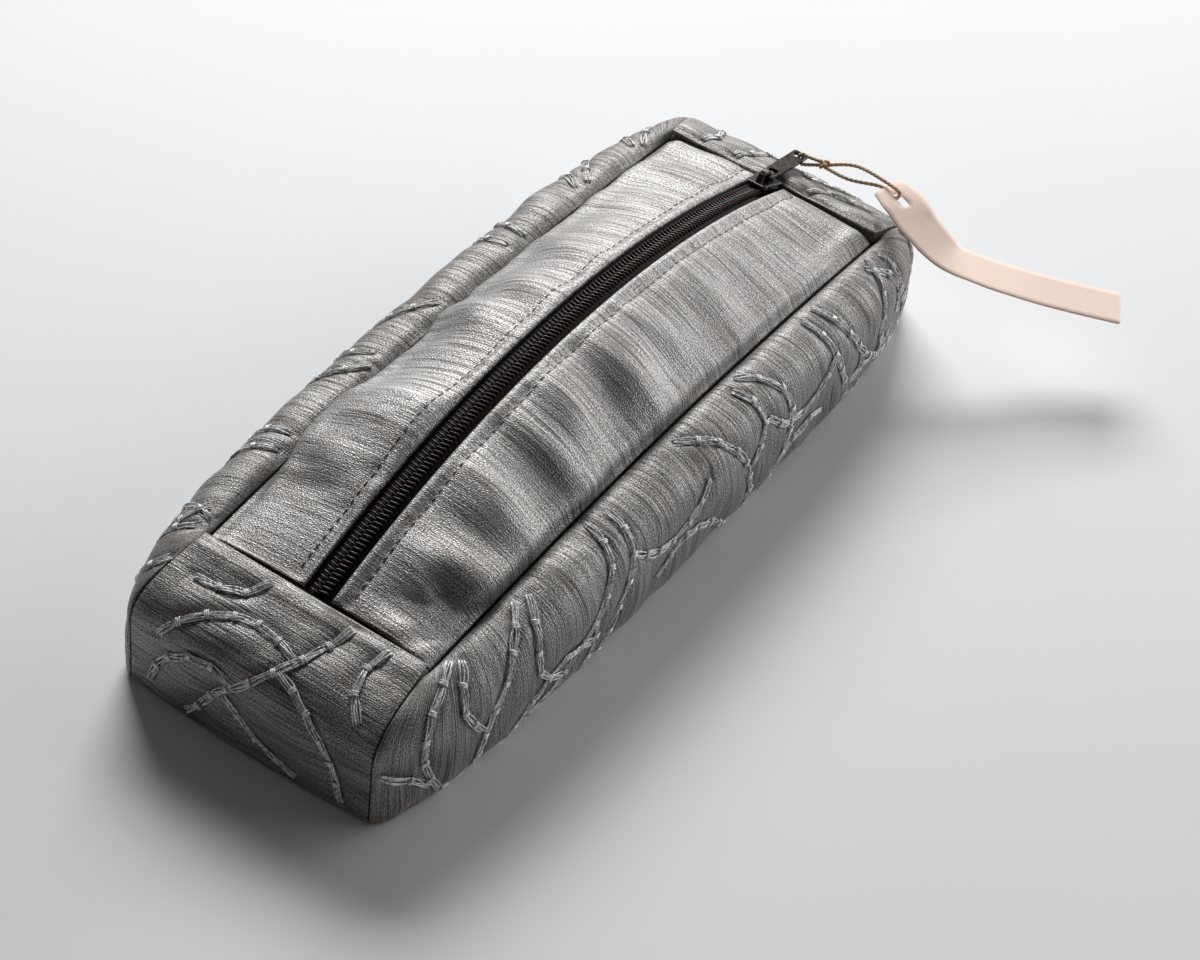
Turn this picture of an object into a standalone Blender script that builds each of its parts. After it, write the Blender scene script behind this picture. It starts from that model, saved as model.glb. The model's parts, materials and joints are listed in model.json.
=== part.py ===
"""A lined and padded fabric pencil case, zipped along its top, with a swing tag on twine.

Metres, +Z up. The zip runs along Y and its closed slider is at the +Y end. The origin is
the middle of the footprint, on the ground. The case is filled and zipped shut.
"""
from math import asin, copysign, cos, exp, hypot, pi, radians, sin, sqrt

import bmesh
import bpy
from mathutils import Matrix, Vector
from mathutils.geometry import interpolate_bezier

MM = 0.001

# The opening in the top of the case
OPENING_LENGTH = 190 * MM      # between the folded lips of the two end panels
OPENING_WIDTH = 63 * MM        # between the two long seams
SEAM_HEIGHT = 30 * MM          # the long seams at their ends
SEAM_RISE = 5 * MM             # how much higher they are at mid length
CROWN = 19 * MM                # rise of the zip's arc over its own ends
ZIP_END_LIFT = 1 * MM          # the arc's ends above the long seams' ends
CROWN_POWER = 1.8              # how the swell fades from the zip to the seams
FOLD_GAP = 7.5 * MM            # between the folded edges either side of the zip
GROOVE_DEPTH = 2 * MM          # dip of the stuffed cloth into a seam
GROOVE_WIDTH = 2.5 * MM
LIP_LIFT = 1.5 * MM            # the end panels' lips above the long seams
LIP_WIDTH = 6 * MM

# The swelling sides and ends
SIDE_REACH = 15.5 * MM         # a side's widest line beyond its seam
NEAR_REACH = 23 * MM           # the -Y end beyond its lip
FAR_REACH = 16 * MM            # the +Y end beyond its lip
CORNER_FLARE = 2.5 * MM        # a corner seam's foot beyond its top, across the case
END_BOW = 1.5 * MM             # bulge of an end at mid width
GIRTH_HEIGHT = 18 * MM         # height of the widest line
PLAN_POWER = 4                 # how square the case is in plan
SEAM_PULL = 3.9                # how late the long seams turn into the corners
SIDE_SQUARENESS = 2.8          # of the section at mid length
END_SQUARENESS = 2.5           # of the section at the ends
SIDE_FOOT = 0.5                # share of the reach where a side meets the base
END_FOOT = 1.0

# Layers
CLOTH = 1.0 * MM
WADDING = 3.0 * MM
LINING = 0.8 * MM
TAPE = 0.5 * MM
TOP_LINING = 0.6 * MM
CLEARANCE = 0.3 * MM           # between pieces that touch
MITRE_CLEARANCE = CLEARANCE * sqrt(2)
LIP_CLEARANCE = 1.0 * MM       # between the top panels and the lips
TAPE_REACH = 14 * MM           # outer edge of a tape from the zip's middle
TAPE_INNER = 1.2 * MM          # inner edge of a tape
TOP_LINING_INNER = 5.0 * MM    # inner edge of a top lining

# Zip chain
CHAIN_PITCH = 1.27 * MM
CHAIN_RUNNING_GAP = 0.2 * MM   # between a tooth and its neighbours
SPINE_OUTER = 2.1 * MM         # a row's outer edge from the zip's middle
SPINE_INNER = 0.9 * MM
TOOTH_REACH = 0.6 * MM         # a tooth's tip past the zip's middle
CHAIN_HEIGHT = 1.35 * MM
TEETH_A_BLOCK = 5

# Slider, in its own frame: x across, u along the zip towards +Y, h away from the arc
SLIDER_STOP = 5.5 * MM         # the closed slider's middle from the lip
SLIDER_LENGTH = 9.2 * MM
SLIDER_WIDTH = 7.0 * MM
SLIDER_TAIL_WIDTH = 5.8 * MM
SLIDER_ROOF = 0.7 * MM         # underside of the upper wing above the arc
UPPER_WING = 1.0 * MM
LOWER_WING = 0.9 * MM
FLANGE = 0.5 * MM
POST_WIDTH = 1.6 * MM
POST_START = 1.6 * MM          # the post's point ahead of the slider's middle
POST_END = 4.2 * MM
BRIDGE_START = -3.2 * MM
BRIDGE_END = 2.8 * MM
BRIDGE_TOP = 4.6 * MM
BRIDGE_BAR = 0.8 * MM
BRIDGE_WIDTH = 1.6 * MM
BRIDGE_STEPS = 8

# Pull
PIVOT_U = 0.8 * MM
PIVOT_H = 2.5 * MM
PULL_TILT = radians(9.2)       # the resting pull is lifted this far off the slider's line
PULL_LENGTH = 19 * MM
PULL_WIDTH = 4.2 * MM
PULL_THICKNESS = 1.0 * MM
PULL_SLOT_WIDTH = 2.5 * MM     # slot that straddles the bridge
PULL_SLOT_LENGTH = 4.2 * MM
PULL_BAR = 0.8 * MM            # the bar that turns under the bridge
EYE_LENGTH = 2.6 * MM
EYE_WIDTH = 2.8 * MM
EYE_RIM = 0.7 * MM

# Twine and tag, placed from the middle of the pull's eye, in millimetres
TWINE_DIAMETER = 1.0 * MM
TWINE_STEP = 1.2 * MM          # short enough for the turn round the eye's rim
KNOT_RADIUS = 1.7 * MM
KNOT_PLACE = (8.2, -0.6, 2.2)
TAG_WIDTH = 12 * MM
TAG_THICKNESS = 0.8 * MM
TAG_HEAD_LENGTH = 5 * MM       # length over which the head narrows
TAG_HEAD_WIDTH = 9 * MM
TAG_SLIT_WIDTH = 2.4 * MM
TAG_SLIT_LENGTH = 5 * MM
TAG_SLIT_START = 3.2 * MM
TAG_STEPS = 26
TAG_ROUTE = [(26.5, -0.2, 4.4), (33.0, -1.9, 3.7), (40.3, -4.4, 1.2), (49.6, -4.8, -2.8),
             (57.5, -0.2, -6.6), (67.5, 6.6, -10.3), (77.7, 12.4, -12.3), (89.5, 18.7, -13.8)]

# Fineness of the meshes
ALONG_STEPS = 20
INNER_ALONG_STEPS = 10
END_STEPS = 8
INNER_END_STEPS = 4
BASE_ACROSS_STEPS = 4
TOP_ALONG_STEPS = 18
TOP_LINING_STEPS = 14
TAPE_STEPS = 16
PROFILE_DEGREES = [90, 87.5, 82, 72, 57, 38, 19, 0, -25, -50, -72, -90]
TOP_SHARES = [0, 0.2, 0.4, 0.6, 0.76, 0.88, 0.95, 1]
SMOOTH_ANGLE = radians(50)

# Worked out from the sizes above
HALF_LENGTH = OPENING_LENGTH / 2
HALF_WIDTH = OPENING_WIDTH / 2
HALF_GAP = FOLD_GAP / 2
OPENING_Y = (NEAR_REACH - FAR_REACH) / 2
ARC_RADIUS = (HALF_LENGTH ** 2 + CROWN ** 2) / (2 * CROWN)
ARC_CENTRE_Z = SEAM_HEIGHT + ZIP_END_LIFT + CROWN - ARC_RADIUS
TOP_HALF_LENGTH = HALF_LENGTH - LIP_CLEARANCE
WADDING_DEPTH = CLOTH + CLEARANCE
LINING_DEPTH = WADDING_DEPTH + WADDING + CLEARANCE
TAPE_DEPTH = CLOTH + CLEARANCE
TOP_LINING_DEPTH = TAPE_DEPTH + TAPE + CLEARANCE
CHAIN_BOTTOM = CLEARANCE - TAPE_DEPTH
TOOTH_WIDTH = CHAIN_PITCH / 2 - CHAIN_RUNNING_GAP
SLIDER_Y = HALF_LENGTH - SLIDER_STOP
SLIDER_ANGLE = asin(SLIDER_Y / ARC_RADIUS)
SLIDER_FLOOR = -(TAPE_DEPTH + TAPE + CLEARANCE)
CHAIN_END_ANGLE = SLIDER_ANGLE + (POST_START - CLEARANCE) / ARC_RADIUS
EYE_CENTRE = PULL_LENGTH - PULL_BAR / 2 - EYE_RIM - EYE_LENGTH / 2
SLIDER_TURN = Matrix.Rotation(-SLIDER_ANGLE, 3, "X")
PULL_TURN = Matrix.Rotation(PULL_TILT - SLIDER_ANGLE, 3, "X")
ARC_CENTRE = Vector((0, OPENING_Y, ARC_CENTRE_Z))
PIVOT = ARC_CENTRE + SLIDER_TURN @ Vector((0, PIVOT_U, ARC_RADIUS + PIVOT_H))
EYE = PIVOT + PULL_TURN @ Vector((0, EYE_CENTRE, 0))


def clear_scene():
    for thing in list(bpy.data.objects):
        bpy.data.objects.remove(thing, do_unlink=True)


def material(name, colour, roughness, metallic=0.0):
    """A plain surface of one colour."""
    made = bpy.data.materials.new(name)
    made.use_nodes = True
    surface = made.node_tree.nodes["Principled BSDF"]
    surface.inputs["Base Color"].default_value = (*colour, 1)
    surface.inputs["Roughness"].default_value = roughness
    surface.inputs["Metallic"].default_value = metallic
    return made


def empty(name, place, parent=None, turn_x=0.0):
    """An axis that a moving piece hangs on."""
    made = bpy.data.objects.new(name, None)
    made.location = place
    made.rotation_euler.x = turn_x
    made.parent = parent
    bpy.context.collection.objects.link(made)
    return made


def solid(name, shape, finish, parent=None, place=(0, 0, 0), smooth=True):
    """Turn a bmesh into a named object with its faces pointing out."""
    bmesh.ops.recalc_face_normals(shape, faces=shape.faces)
    mesh = bpy.data.meshes.new(name)
    shape.to_mesh(mesh)
    shape.free()
    mesh.materials.append(finish)
    if smooth:
        mesh.shade_smooth()
        mesh.set_sharp_from_angle(angle=SMOOTH_ANGLE)
    made = bpy.data.objects.new(name, mesh)
    made.location = place
    made.parent = parent
    bpy.context.collection.objects.link(made)
    return made


def arc_height(y):
    """Height of the folded edges, y from the opening's middle."""
    return ARC_CENTRE_Z + sqrt(ARC_RADIUS ** 2 - y ** 2)


def seam_height(y):
    """Height of the long seams, y from the opening's middle."""
    return SEAM_HEIGHT + SEAM_RISE * (1 - (y / HALF_LENGTH) ** 2)


def top_point(x, y, depth):
    """A point some depth under the upper surface of the top panels."""
    across = min(max((abs(x) - HALF_GAP) / (HALF_WIDTH - HALF_GAP), 0), 1)
    swell = (arc_height(y) - seam_height(y)) * (1 - across ** CROWN_POWER)
    dip = GROOVE_DEPTH * exp(-(1 - across) * HALF_WIDTH / GROOVE_WIDTH)
    return Vector((x, y + OPENING_Y, seam_height(y) + swell - dip - depth))


def section(angle, top, depth, squareness, foot):
    """Share of the reach and height round a rounded wall, from pi/2 at the seam to -pi/2."""
    bulge = abs(cos(angle)) ** (2 / squareness)
    rise = abs(sin(angle)) ** (2 / squareness)
    if angle >= 0:
        return bulge, GIRTH_HEIGHT + (top - GIRTH_HEIGHT) * rise
    return foot + (1 - foot) * bulge, GIRTH_HEIGHT - (GIRTH_HEIGHT - depth) * rise


def end_reach(end, depth):
    """An end's reach and its corners' flare, at some depth inside the cloth."""
    full = NEAR_REACH if end < 0 else FAR_REACH
    return full - depth, CORNER_FLARE * (full - depth) / full


def side_point(along, angle, side, depth):
    """A point of a side wall: along runs -1 to 1 from the near corner to the far one."""
    reach, flare = end_reach(along, depth)
    corner = HALF_LENGTH + reach
    pull = min(SEAM_PULL, corner / reach - 1)
    outer_y = corner * along
    inner_y = outer_y * (1 - reach / corner * abs(along) ** pull)
    belly = (1 - abs(along) ** PLAN_POWER) ** (2 / 3)
    outer_x = flare + (SIDE_REACH - depth - flare) * belly
    corner_share = abs(along) ** 3
    squareness = SIDE_SQUARENESS + (END_SQUARENESS - SIDE_SQUARENESS) * corner_share
    foot = SIDE_FOOT + (END_FOOT - SIDE_FOOT) * corner_share
    share, z = section(angle, seam_height(inner_y) - depth, depth, squareness, foot)
    if angle > 0:
        run = share * hypot(outer_x, outer_y - inner_y)
        z -= GROOVE_DEPTH * exp(-run / GROOVE_WIDTH)
    x = side * (HALF_WIDTH + share * outer_x + CLEARANCE)
    return Vector((x, inner_y + share * (outer_y - inner_y) + OPENING_Y, z))


def end_point(across, angle, end, depth):
    """A point of an end wall: across runs -1 to 1, end is -1 near and 1 far."""
    reach, flare = end_reach(end, depth)
    share, z = section(angle, SEAM_HEIGHT - depth, depth, END_SQUARENESS, END_FOOT)
    if angle > 0:
        z += LIP_LIFT * exp(-share * reach / LIP_WIDTH)
    x = across * (HALF_WIDTH + share * flare)
    y = end * (HALF_LENGTH + share * (reach + END_BOW * (1 - across ** 2)))
    return Vector((x, y + OPENING_Y, z))


def base_point(along, across, depth):
    """A point of the flat base, which ends just inside the feet of the walls."""
    foot = side_point(along, -pi / 2, 1, depth)
    bow = END_BOW * (1 - across ** 2) - MITRE_CLEARANCE
    y = foot.y + copysign(1, along) * abs(along) ** 3 * bow
    return Vector((across * (foot.x - MITRE_CLEARANCE), y, depth))


def even(count, low=-1.0, high=1.0):
    return [low + (high - low) * i / count for i in range(count + 1)]


def toward_corners(count):
    """Steps from -1 to 1 that draw closer together near the corners."""
    return [0.5 * u + 0.5 * sin(pi / 2 * u) for u in even(count)]


def sheet(name, rows, columns, surface, depths, finish, parent=None, origin=Vector()):
    """A closed sheet between two depths of a surface, with square-cut edges."""
    shape = bmesh.new()
    grids = [[[shape.verts.new(surface(row, column, depth) - origin) for column in columns]
              for row in rows] for depth in depths]
    for grid in grids:
        for low, high in zip(grid, grid[1:]):
            for i in range(len(columns) - 1):
                shape.faces.new((low[i], low[i + 1], high[i + 1], high[i]))
    outer, inner = [rim(grid) for grid in grids]
    for i in range(len(outer)):
        shape.faces.new((outer[i - 1], outer[i], inner[i], inner[i - 1]))
    return solid(name, shape, finish, parent, origin)


def rim(grid):
    """The corners of a grid's edge, in order."""
    right = [row[-1] for row in grid]
    left = [row[0] for row in grid]
    return grid[0][:-1] + right[:-1] + grid[-1][:0:-1] + left[:0:-1]


def wall_layer(side_name, end_name, base_name, along_steps, end_steps, depths, finish):
    """One layer of the sides, ends and base."""
    angles = [radians(a) for a in PROFILE_DEGREES]
    along = toward_corners(along_steps)
    across = even(end_steps)
    for side, label in ((-1, "left"), (1, "right")):
        sheet(side_name + label, along, angles,
              lambda t, a, depth: side_point(t, a, side, depth), depths, finish)
    for end, label in ((-1, "near"), (1, "far")):
        sheet(end_name + label, across, angles,
              lambda t, a, depth: end_point(t, a, end, depth), depths, finish)
    sheet(base_name, along, even(BASE_ACROSS_STEPS), base_point, depths, finish)


def top_sheet(name, side, inner, outer, steps, depth, thickness, finish, parent):
    """One layer of a top panel, from an inner to an outer distance from the zip."""
    across = [side * (inner + (outer - inner) * share) for share in TOP_SHARES]
    lengths = even(steps, -TOP_HALF_LENGTH, TOP_HALF_LENGTH)
    sheet(name, lengths, across, lambda y, x, d: top_point(x, y, d),
          (depth, depth + thickness), finish, parent[0], parent[1])


def chain_row(name, side, finish, parent):
    """One row of the zip's chain: a spine with a tooth in every gap of the other row."""
    shape = bmesh.new()
    first = -asin(TOP_HALF_LENGTH / ARC_RADIUS)
    step = CHAIN_PITCH / ARC_RADIUS
    lead = 0.5 * step if side > 0 else 0.0
    half_tooth = TOOTH_WIDTH / 2 / ARC_RADIUS
    count = int((CHAIN_END_ANGLE - first - lead) / step)

    def corner(x, angle, layer):
        radius = ARC_RADIUS + CHAIN_BOTTOM + layer * CHAIN_HEIGHT
        place = Vector((side * x, OPENING_Y + radius * sin(angle), ARC_CENTRE_Z + radius * cos(angle)))
        return shape.verts.new(place - parent[1])

    def pair(x, angle):
        return corner(x, angle, 0), corner(x, angle, 1)

    def block_edge(angle):
        return pair(SPINE_OUTER, angle), pair(SPINE_INNER, angle)

    def wall(run):
        for a, b in zip(run, run[1:]):
            shape.faces.new((a[0], b[0], b[1], a[1]))

    start = block_edge(first)
    wall(start)
    for block in range(0, count, TEETH_A_BLOCK):
        teeth = range(block, min(block + TEETH_A_BLOCK, count))
        end_angle = first + lead + step * (teeth[-1] + 1)
        stop = block_edge(min(end_angle, CHAIN_END_ANGLE))
        inner = [start[1]]
        for tooth in teeth:
            middle = first + lead + step * (tooth + 0.5)
            inner += [pair(SPINE_INNER, middle - half_tooth), pair(-TOOTH_REACH, middle - half_tooth),
                      pair(-TOOTH_REACH, middle + half_tooth), pair(SPINE_INNER, middle + half_tooth)]
        inner.append(stop[1])
        wall(inner)
        wall([start[0], stop[0]])
        outline = [start[0]] + inner + [stop[0]]
        for layer in (0, 1):
            shape.faces.new([point[layer] for point in outline])
        start = stop
    wall(start)
    solid(name, shape, finish, parent[0], parent[1], smooth=False)


def prism(shape, outline, low, high, frame):
    """Add a straight prism: frame(a, b, c) places an outline point a, b at a level c."""
    rings = [[shape.verts.new(frame(a, b, level)) for a, b in outline] for level in (low, high)]
    shape.faces.new(rings[0])
    shape.faces.new(rings[1])
    for i in range(len(outline)):
        shape.faces.new((rings[0][i - 1], rings[0][i], rings[1][i], rings[1][i - 1]))


def flat_frame(a, b, level):
    return Vector((a, b, level))


def upright_frame(a, b, level):
    return Vector((level, a, b))


def wing_side():
    """Half the slider's outline in plan, from its tail to its front."""
    front, tail = SLIDER_WIDTH / 2, SLIDER_TAIL_WIDTH / 2
    half = SLIDER_LENGTH / 2
    corner = 0.6 * MM
    shoulder = (-half / 4, half / 3)
    return [(tail - corner, -half), (tail, -half + corner), (tail, shoulder[0]),
            (front, shoulder[1]), (front, half - corner), (front - corner, half)]


def mirrored(half):
    return half + [(-a, b) for a, b in reversed(half)]


def cutter_or_part(name, outline, low, high, frame, finish, bevel=0.0):
    """A prism as an object of its own, for joining to or cutting from another."""
    shape = bmesh.new()
    prism(shape, outline, low, high, frame)
    made = solid(name, shape, finish, smooth=False)
    if bevel:
        soften = made.modifiers.new("soften", "BEVEL")
        soften.width = bevel
        soften.segments = 2
        soften.limit_method = "ANGLE"
    return made


def combine(target, tool, operation):
    """Join a tool to an object, or cut it away."""
    change = target.modifiers.new(tool.name, "BOOLEAN")
    change.operation = operation
    change.object = tool
    change.solver = "EXACT"
    tool.hide_render = True
    tool.display_type = "WIRE"
    tool.parent = target


def bridge_outline():
    """Side view of the bridge: a low arch standing in the upper wing."""
    middle = (BRIDGE_START + BRIDGE_END) / 2
    foot = SLIDER_ROOF + UPPER_WING / 2
    half = (BRIDGE_END - BRIDGE_START) / 2
    rise = BRIDGE_TOP - foot
    turns = [pi * i / BRIDGE_STEPS for i in range(BRIDGE_STEPS + 1)]
    outer = [(middle - half * cos(t), foot + rise * sin(t)) for t in turns]
    inner = [(middle + (half - BRIDGE_BAR) * cos(t), foot + (rise - BRIDGE_BAR) * sin(t)) for t in turns]
    return outer + inner


def slider(finish, parent):
    """Two wings joined by the post, flanges that hold the rows, and the pull's bridge."""
    half_wing = wing_side()
    plan = mirrored(half_wing)
    roof = SLIDER_ROOF + UPPER_WING
    body = cutter_or_part("slider_body", plan, SLIDER_ROOF, roof, flat_frame, finish, 0.2 * MM)
    floor = SLIDER_FLOOR - LOWER_WING
    parts = [cutter_or_part("lower_wing", plan, floor, SLIDER_FLOOR, flat_frame, finish)]
    post = [(0, POST_START), (POST_WIDTH / 2, (POST_START + POST_END) / 2), (POST_WIDTH / 2, POST_END),
            (-POST_WIDTH / 2, POST_END), (-POST_WIDTH / 2, (POST_START + POST_END) / 2)]
    sink = min(LOWER_WING, UPPER_WING) / 2
    parts.append(cutter_or_part("post", post, SLIDER_FLOOR - sink, SLIDER_ROOF + sink, flat_frame, finish))
    flange_bottom = CLEARANCE - TAPE_DEPTH
    sides = half_wing[1:5]
    for side in (-1, 1):
        outline = [(side * a, b) for a, b in sides]
        outline += [(side * (a - FLANGE), b) for a, b in reversed(sides)]
        parts.append(cutter_or_part("flange", outline, flange_bottom, roof - sink, flat_frame, finish))
    bridge = bridge_outline()
    half = BRIDGE_WIDTH / 2
    parts.append(cutter_or_part("bridge", bridge, -half, half, upright_frame, finish))
    for part in parts:
        combine(body, part, "UNION")
    body.parent = parent
    body.location = (0, 0, ARC_RADIUS)


def rectangle(half_width, start, end, corner):
    side = [(half_width - corner, start), (half_width, start + corner),
            (half_width, end - corner), (half_width - corner, end)]
    return mirrored(side)


def pull(finish, parent):
    """A flat pull with a slot that straddles the bridge and an eye near its tip."""
    half = PULL_THICKNESS / 2
    start = -PULL_BAR / 2
    end = start + PULL_LENGTH
    corner = 0.5 * MM
    plate = cutter_or_part("pull_tab", rectangle(PULL_WIDTH / 2, start, end, corner),
                           -half, half, flat_frame, finish)
    slot = rectangle(PULL_SLOT_WIDTH / 2, PULL_BAR / 2, PULL_BAR / 2 + PULL_SLOT_LENGTH, corner)
    eye = rectangle(EYE_WIDTH / 2, EYE_CENTRE - EYE_LENGTH / 2, EYE_CENTRE + EYE_LENGTH / 2, corner)
    for name, outline in (("slot", slot), ("eye", eye)):
        cutter = cutter_or_part(name, outline, -PULL_THICKNESS, PULL_THICKNESS, flat_frame, finish)
        combine(plate, cutter, "DIFFERENCE")
    plate.parent = parent
    plate.location = (0, PIVOT_U, ARC_RADIUS + PIVOT_H)
    plate.rotation_euler.x = PULL_TILT


def smooth_route(points, step):
    """Points about a step apart on a smooth curve through the given points."""
    knots = [Vector(p) for p in points]
    tangents = [(b - a) / 2 for a, b in zip([knots[0]] + knots, knots[1:] + [knots[-1]])]
    dense = [knots[0]]
    for i, (a, b) in enumerate(zip(knots, knots[1:])):
        dense += interpolate_bezier(a, a + tangents[i] / 3, b - tangents[i + 1] / 3, b, 24)[1:]
    total = sum((b - a).length for a, b in zip(dense, dense[1:]))
    count = max(round(total / step), 3)
    spaced = [dense[0]]
    walked = 0.0
    for a, b in zip(dense, dense[1:]):
        walked += (b - a).length
        if walked >= total * len(spaced) / count - 1e-9:
            spaced.append(b)
    return spaced


def twine(name, points, finish, parent):
    """A length of twine along a route given from its parent's origin."""
    curve = bpy.data.curves.new(name, "CURVE")
    curve.dimensions = "3D"
    curve.bevel_depth = TWINE_DIAMETER / 2
    curve.bevel_resolution = 2
    curve.use_fill_caps = True
    route = smooth_route(points, TWINE_STEP)
    line = curve.splines.new("POLY")
    line.points.add(len(route) - 1)
    for spot, place in zip(line.points, route):
        spot.co = (*place, 1)
    curve.materials.append(finish)
    made = bpy.data.objects.new(name, curve)
    made.parent = parent
    bpy.context.collection.objects.link(made)


def knot(finish, parent):
    """The overhand knot as one rounded lump."""
    shape = bmesh.new()
    bmesh.ops.create_icosphere(shape, subdivisions=2, radius=KNOT_RADIUS)
    solid("twine_knot", shape, finish, parent, Vector(KNOT_PLACE) * MM)


def pull_loop(finish, parent):
    """From the knot over the eye's right rim, down through the eye and back underneath."""
    rim_x = (PULL_WIDTH + EYE_WIDTH) / 4
    turn = hypot(EYE_RIM, PULL_THICKNESS) / 2 + CLEARANCE + TWINE_DIAMETER / 2
    turns = [radians(a) for a in (65, 100, 140, 180, 220, 260, 295)]
    around = [Vector((rim_x + turn * cos(t), 0, turn * sin(t))) for t in turns]
    middle = Vector(KNOT_PLACE) * MM
    leave = KNOT_RADIUS + CLEARANCE
    upper = middle + Vector((-0.95, 0.0, 0.3)).normalized() * leave
    lower = middle + Vector((-0.75, 0.0, -0.65)).normalized() * leave
    twine("pull_twine", [upper] + [PULL_TURN @ p for p in around] + [lower], finish, parent)


def tag_axes():
    """Places, directions and widths along the tag, from the twine's axis."""
    route = smooth_route([Vector(p) * MM for p in TAG_ROUTE], 0.2 * MM)
    total = sum((b - a).length for a, b in zip(route, route[1:]))
    frames = []
    walked = 0.0
    for a, b in zip(route, route[1:]):
        if walked >= total * len(frames) / TAG_STEPS:
            across = (b - a).cross(Vector((0, 0, 1))).normalized()
            frames.append((a, across, walked))
        walked += (b - a).length
    frames.append((route[-1], across, total))
    return frames


def swing_tag(finish, parent):
    """A strip of card that falls in a double bend and swings on the twine in its head's slit."""
    shape = bmesh.new()
    frames = tag_axes()
    slit, _, _ = slit_place(frames)
    swivel = empty("tag_axis", slit, parent)
    rings = []
    for i, (place, across, walked) in enumerate(frames):
        ahead = frames[min(i + 1, len(frames) - 1)][0] - frames[max(i - 1, 0)][0]
        up = across.cross(ahead).normalized() * TAG_THICKNESS / 2
        fill = min(walked / TAG_HEAD_LENGTH, 1)
        half = across * (TAG_HEAD_WIDTH + (TAG_WIDTH - TAG_HEAD_WIDTH) * fill) / 2
        rings.append([shape.verts.new(place - slit + a * half + b * up) for a, b in
                      ((-1, -1), (1, -1), (1, 1), (-1, 1))])
    for low, high in zip(rings, rings[1:]):
        for i in range(4):
            shape.faces.new((low[i - 1], low[i], high[i], high[i - 1]))
    shape.faces.new(rings[0])
    shape.faces.new(rings[-1])
    tag = solid("swing_tag", shape, finish, swivel)
    slit_cutter(tag, frames, finish)


def slit_place(frames):
    """The middle of the slit and the tag's directions there."""
    near = min(frames, key=lambda f: abs(f[2] - TAG_SLIT_START - TAG_SLIT_LENGTH / 2))
    index = frames.index(near)
    ahead = (frames[index + 1][0] - frames[index - 1][0]).normalized()
    return near[0], near[1], ahead


def slit_cutter(tag, frames, finish):
    """Cuts the slit through the tag, whose origin is the slit's middle."""
    _, across, ahead = slit_place(frames)
    turn = Matrix((across, ahead, across.cross(ahead))).transposed()
    outline = rectangle(TAG_SLIT_WIDTH / 2, -TAG_SLIT_LENGTH / 2, TAG_SLIT_LENGTH / 2, 0.8 * MM)
    shape = bmesh.new()
    prism(shape, outline, -3 * MM, 3 * MM, lambda a, b, c: turn @ Vector((a, b, c)))
    cutter = solid("slit", shape, finish, smooth=False)
    combine(tag, cutter, "DIFFERENCE")


def tag_loop(finish, parent):
    """From the knot through the slit in the tag's head and back over its edge."""
    place, across, ahead = slit_place(tag_axes())
    up = across.cross(ahead)
    edge = place - ahead * (TAG_SLIT_START + TAG_SLIT_LENGTH / 2 + TWINE_DIAMETER)
    through = place - ahead * TWINE_DIAMETER
    middle = Vector(KNOT_PLACE) * MM
    leave = KNOT_RADIUS + CLEARANCE
    lift = 1.6 * MM
    points = [middle + Vector((0.9, 0.35, 0.1)).normalized() * leave,
              middle.lerp(edge, 0.5) + Vector((0, 2.2 * MM, 0.8 * MM)),
              place - ahead * TAG_SLIT_LENGTH / 2 + up * lift,
              through,
              place - ahead * TAG_SLIT_LENGTH / 2 - up * lift,
              edge - up * lift,
              middle.lerp(edge, 0.5) + Vector((0, -2.2 * MM, -0.6 * MM)),
              middle + Vector((0.8, -0.5, -0.3)).normalized() * leave]
    twine("tag_twine", points, finish, parent)


def build():
    clear_scene()
    embroidered = material("embroidered_cloth", (0.26, 0.25, 0.235), 0.55)
    plain = material("slub_cloth", (0.48, 0.47, 0.455), 0.5)
    padding = material("wadding", (0.82, 0.81, 0.78), 0.95)
    lining = material("lining_cloth", (0.12, 0.11, 0.105), 0.7)
    tape = material("zip_tape", (0.02, 0.015, 0.013), 0.8)
    coil = material("zip_coil", (0.03, 0.022, 0.02), 0.35)
    metal = material("dark_metal", (0.05, 0.045, 0.045), 0.3, 1.0)
    jute = material("twine", (0.5, 0.3, 0.17), 0.85)
    card = material("blush_card", (0.98, 0.80, 0.71), 0.6)

    wall_layer("side_panel_", "end_panel_", "bottom_panel", ALONG_STEPS, END_STEPS,
               (0, CLOTH), embroidered)
    wall_layer("side_wadding_", "end_wadding_", "base_wadding", INNER_ALONG_STEPS, INNER_END_STEPS,
               (WADDING_DEPTH, WADDING_DEPTH + WADDING), padding)
    wall_layer("lining_side_", "lining_end_", "lining_base", INNER_ALONG_STEPS, INNER_END_STEPS,
               (LINING_DEPTH, LINING_DEPTH + LINING), lining)

    hinge_height = SEAM_HEIGHT + SEAM_RISE
    for side, label in ((-1, "left"), (1, "right")):
        origin = Vector((side * (HALF_WIDTH + CLEARANCE / 2), OPENING_Y, hinge_height))
        hinge = (None, origin)
        top_sheet("top_panel_" + label, side, HALF_GAP, HALF_WIDTH, TOP_ALONG_STEPS,
                  0, CLOTH, plain, hinge)
        top_sheet("lining_top_" + label, side, TOP_LINING_INNER, HALF_WIDTH - CLEARANCE,
                  TOP_LINING_STEPS, TOP_LINING_DEPTH, TOP_LINING, lining, hinge)
        top_sheet("zip_tape_" + label, side, TAPE_INNER, TAPE_REACH, TAPE_STEPS,
                  TAPE_DEPTH, TAPE, tape, hinge)
        chain_row("zip_coil_" + label, side, coil, hinge)

    track = empty("slider_axis", ARC_CENTRE, None, -SLIDER_ANGLE)
    slider(metal, track)
    pull(metal, track)
    hang = empty("twine_axis", EYE)
    pull_loop(jute, hang)
    knot(jute, hang)
    tag_loop(jute, hang)
    swing_tag(card, hang)
    slit, _, _ = slit_place(tag_axes())
    print("slider arc centre", tuple(ARC_CENTRE), "pull pivot", tuple(PIVOT))
    print("eye", tuple(EYE), "tag's slit", tuple(EYE + slit))


build()
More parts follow.
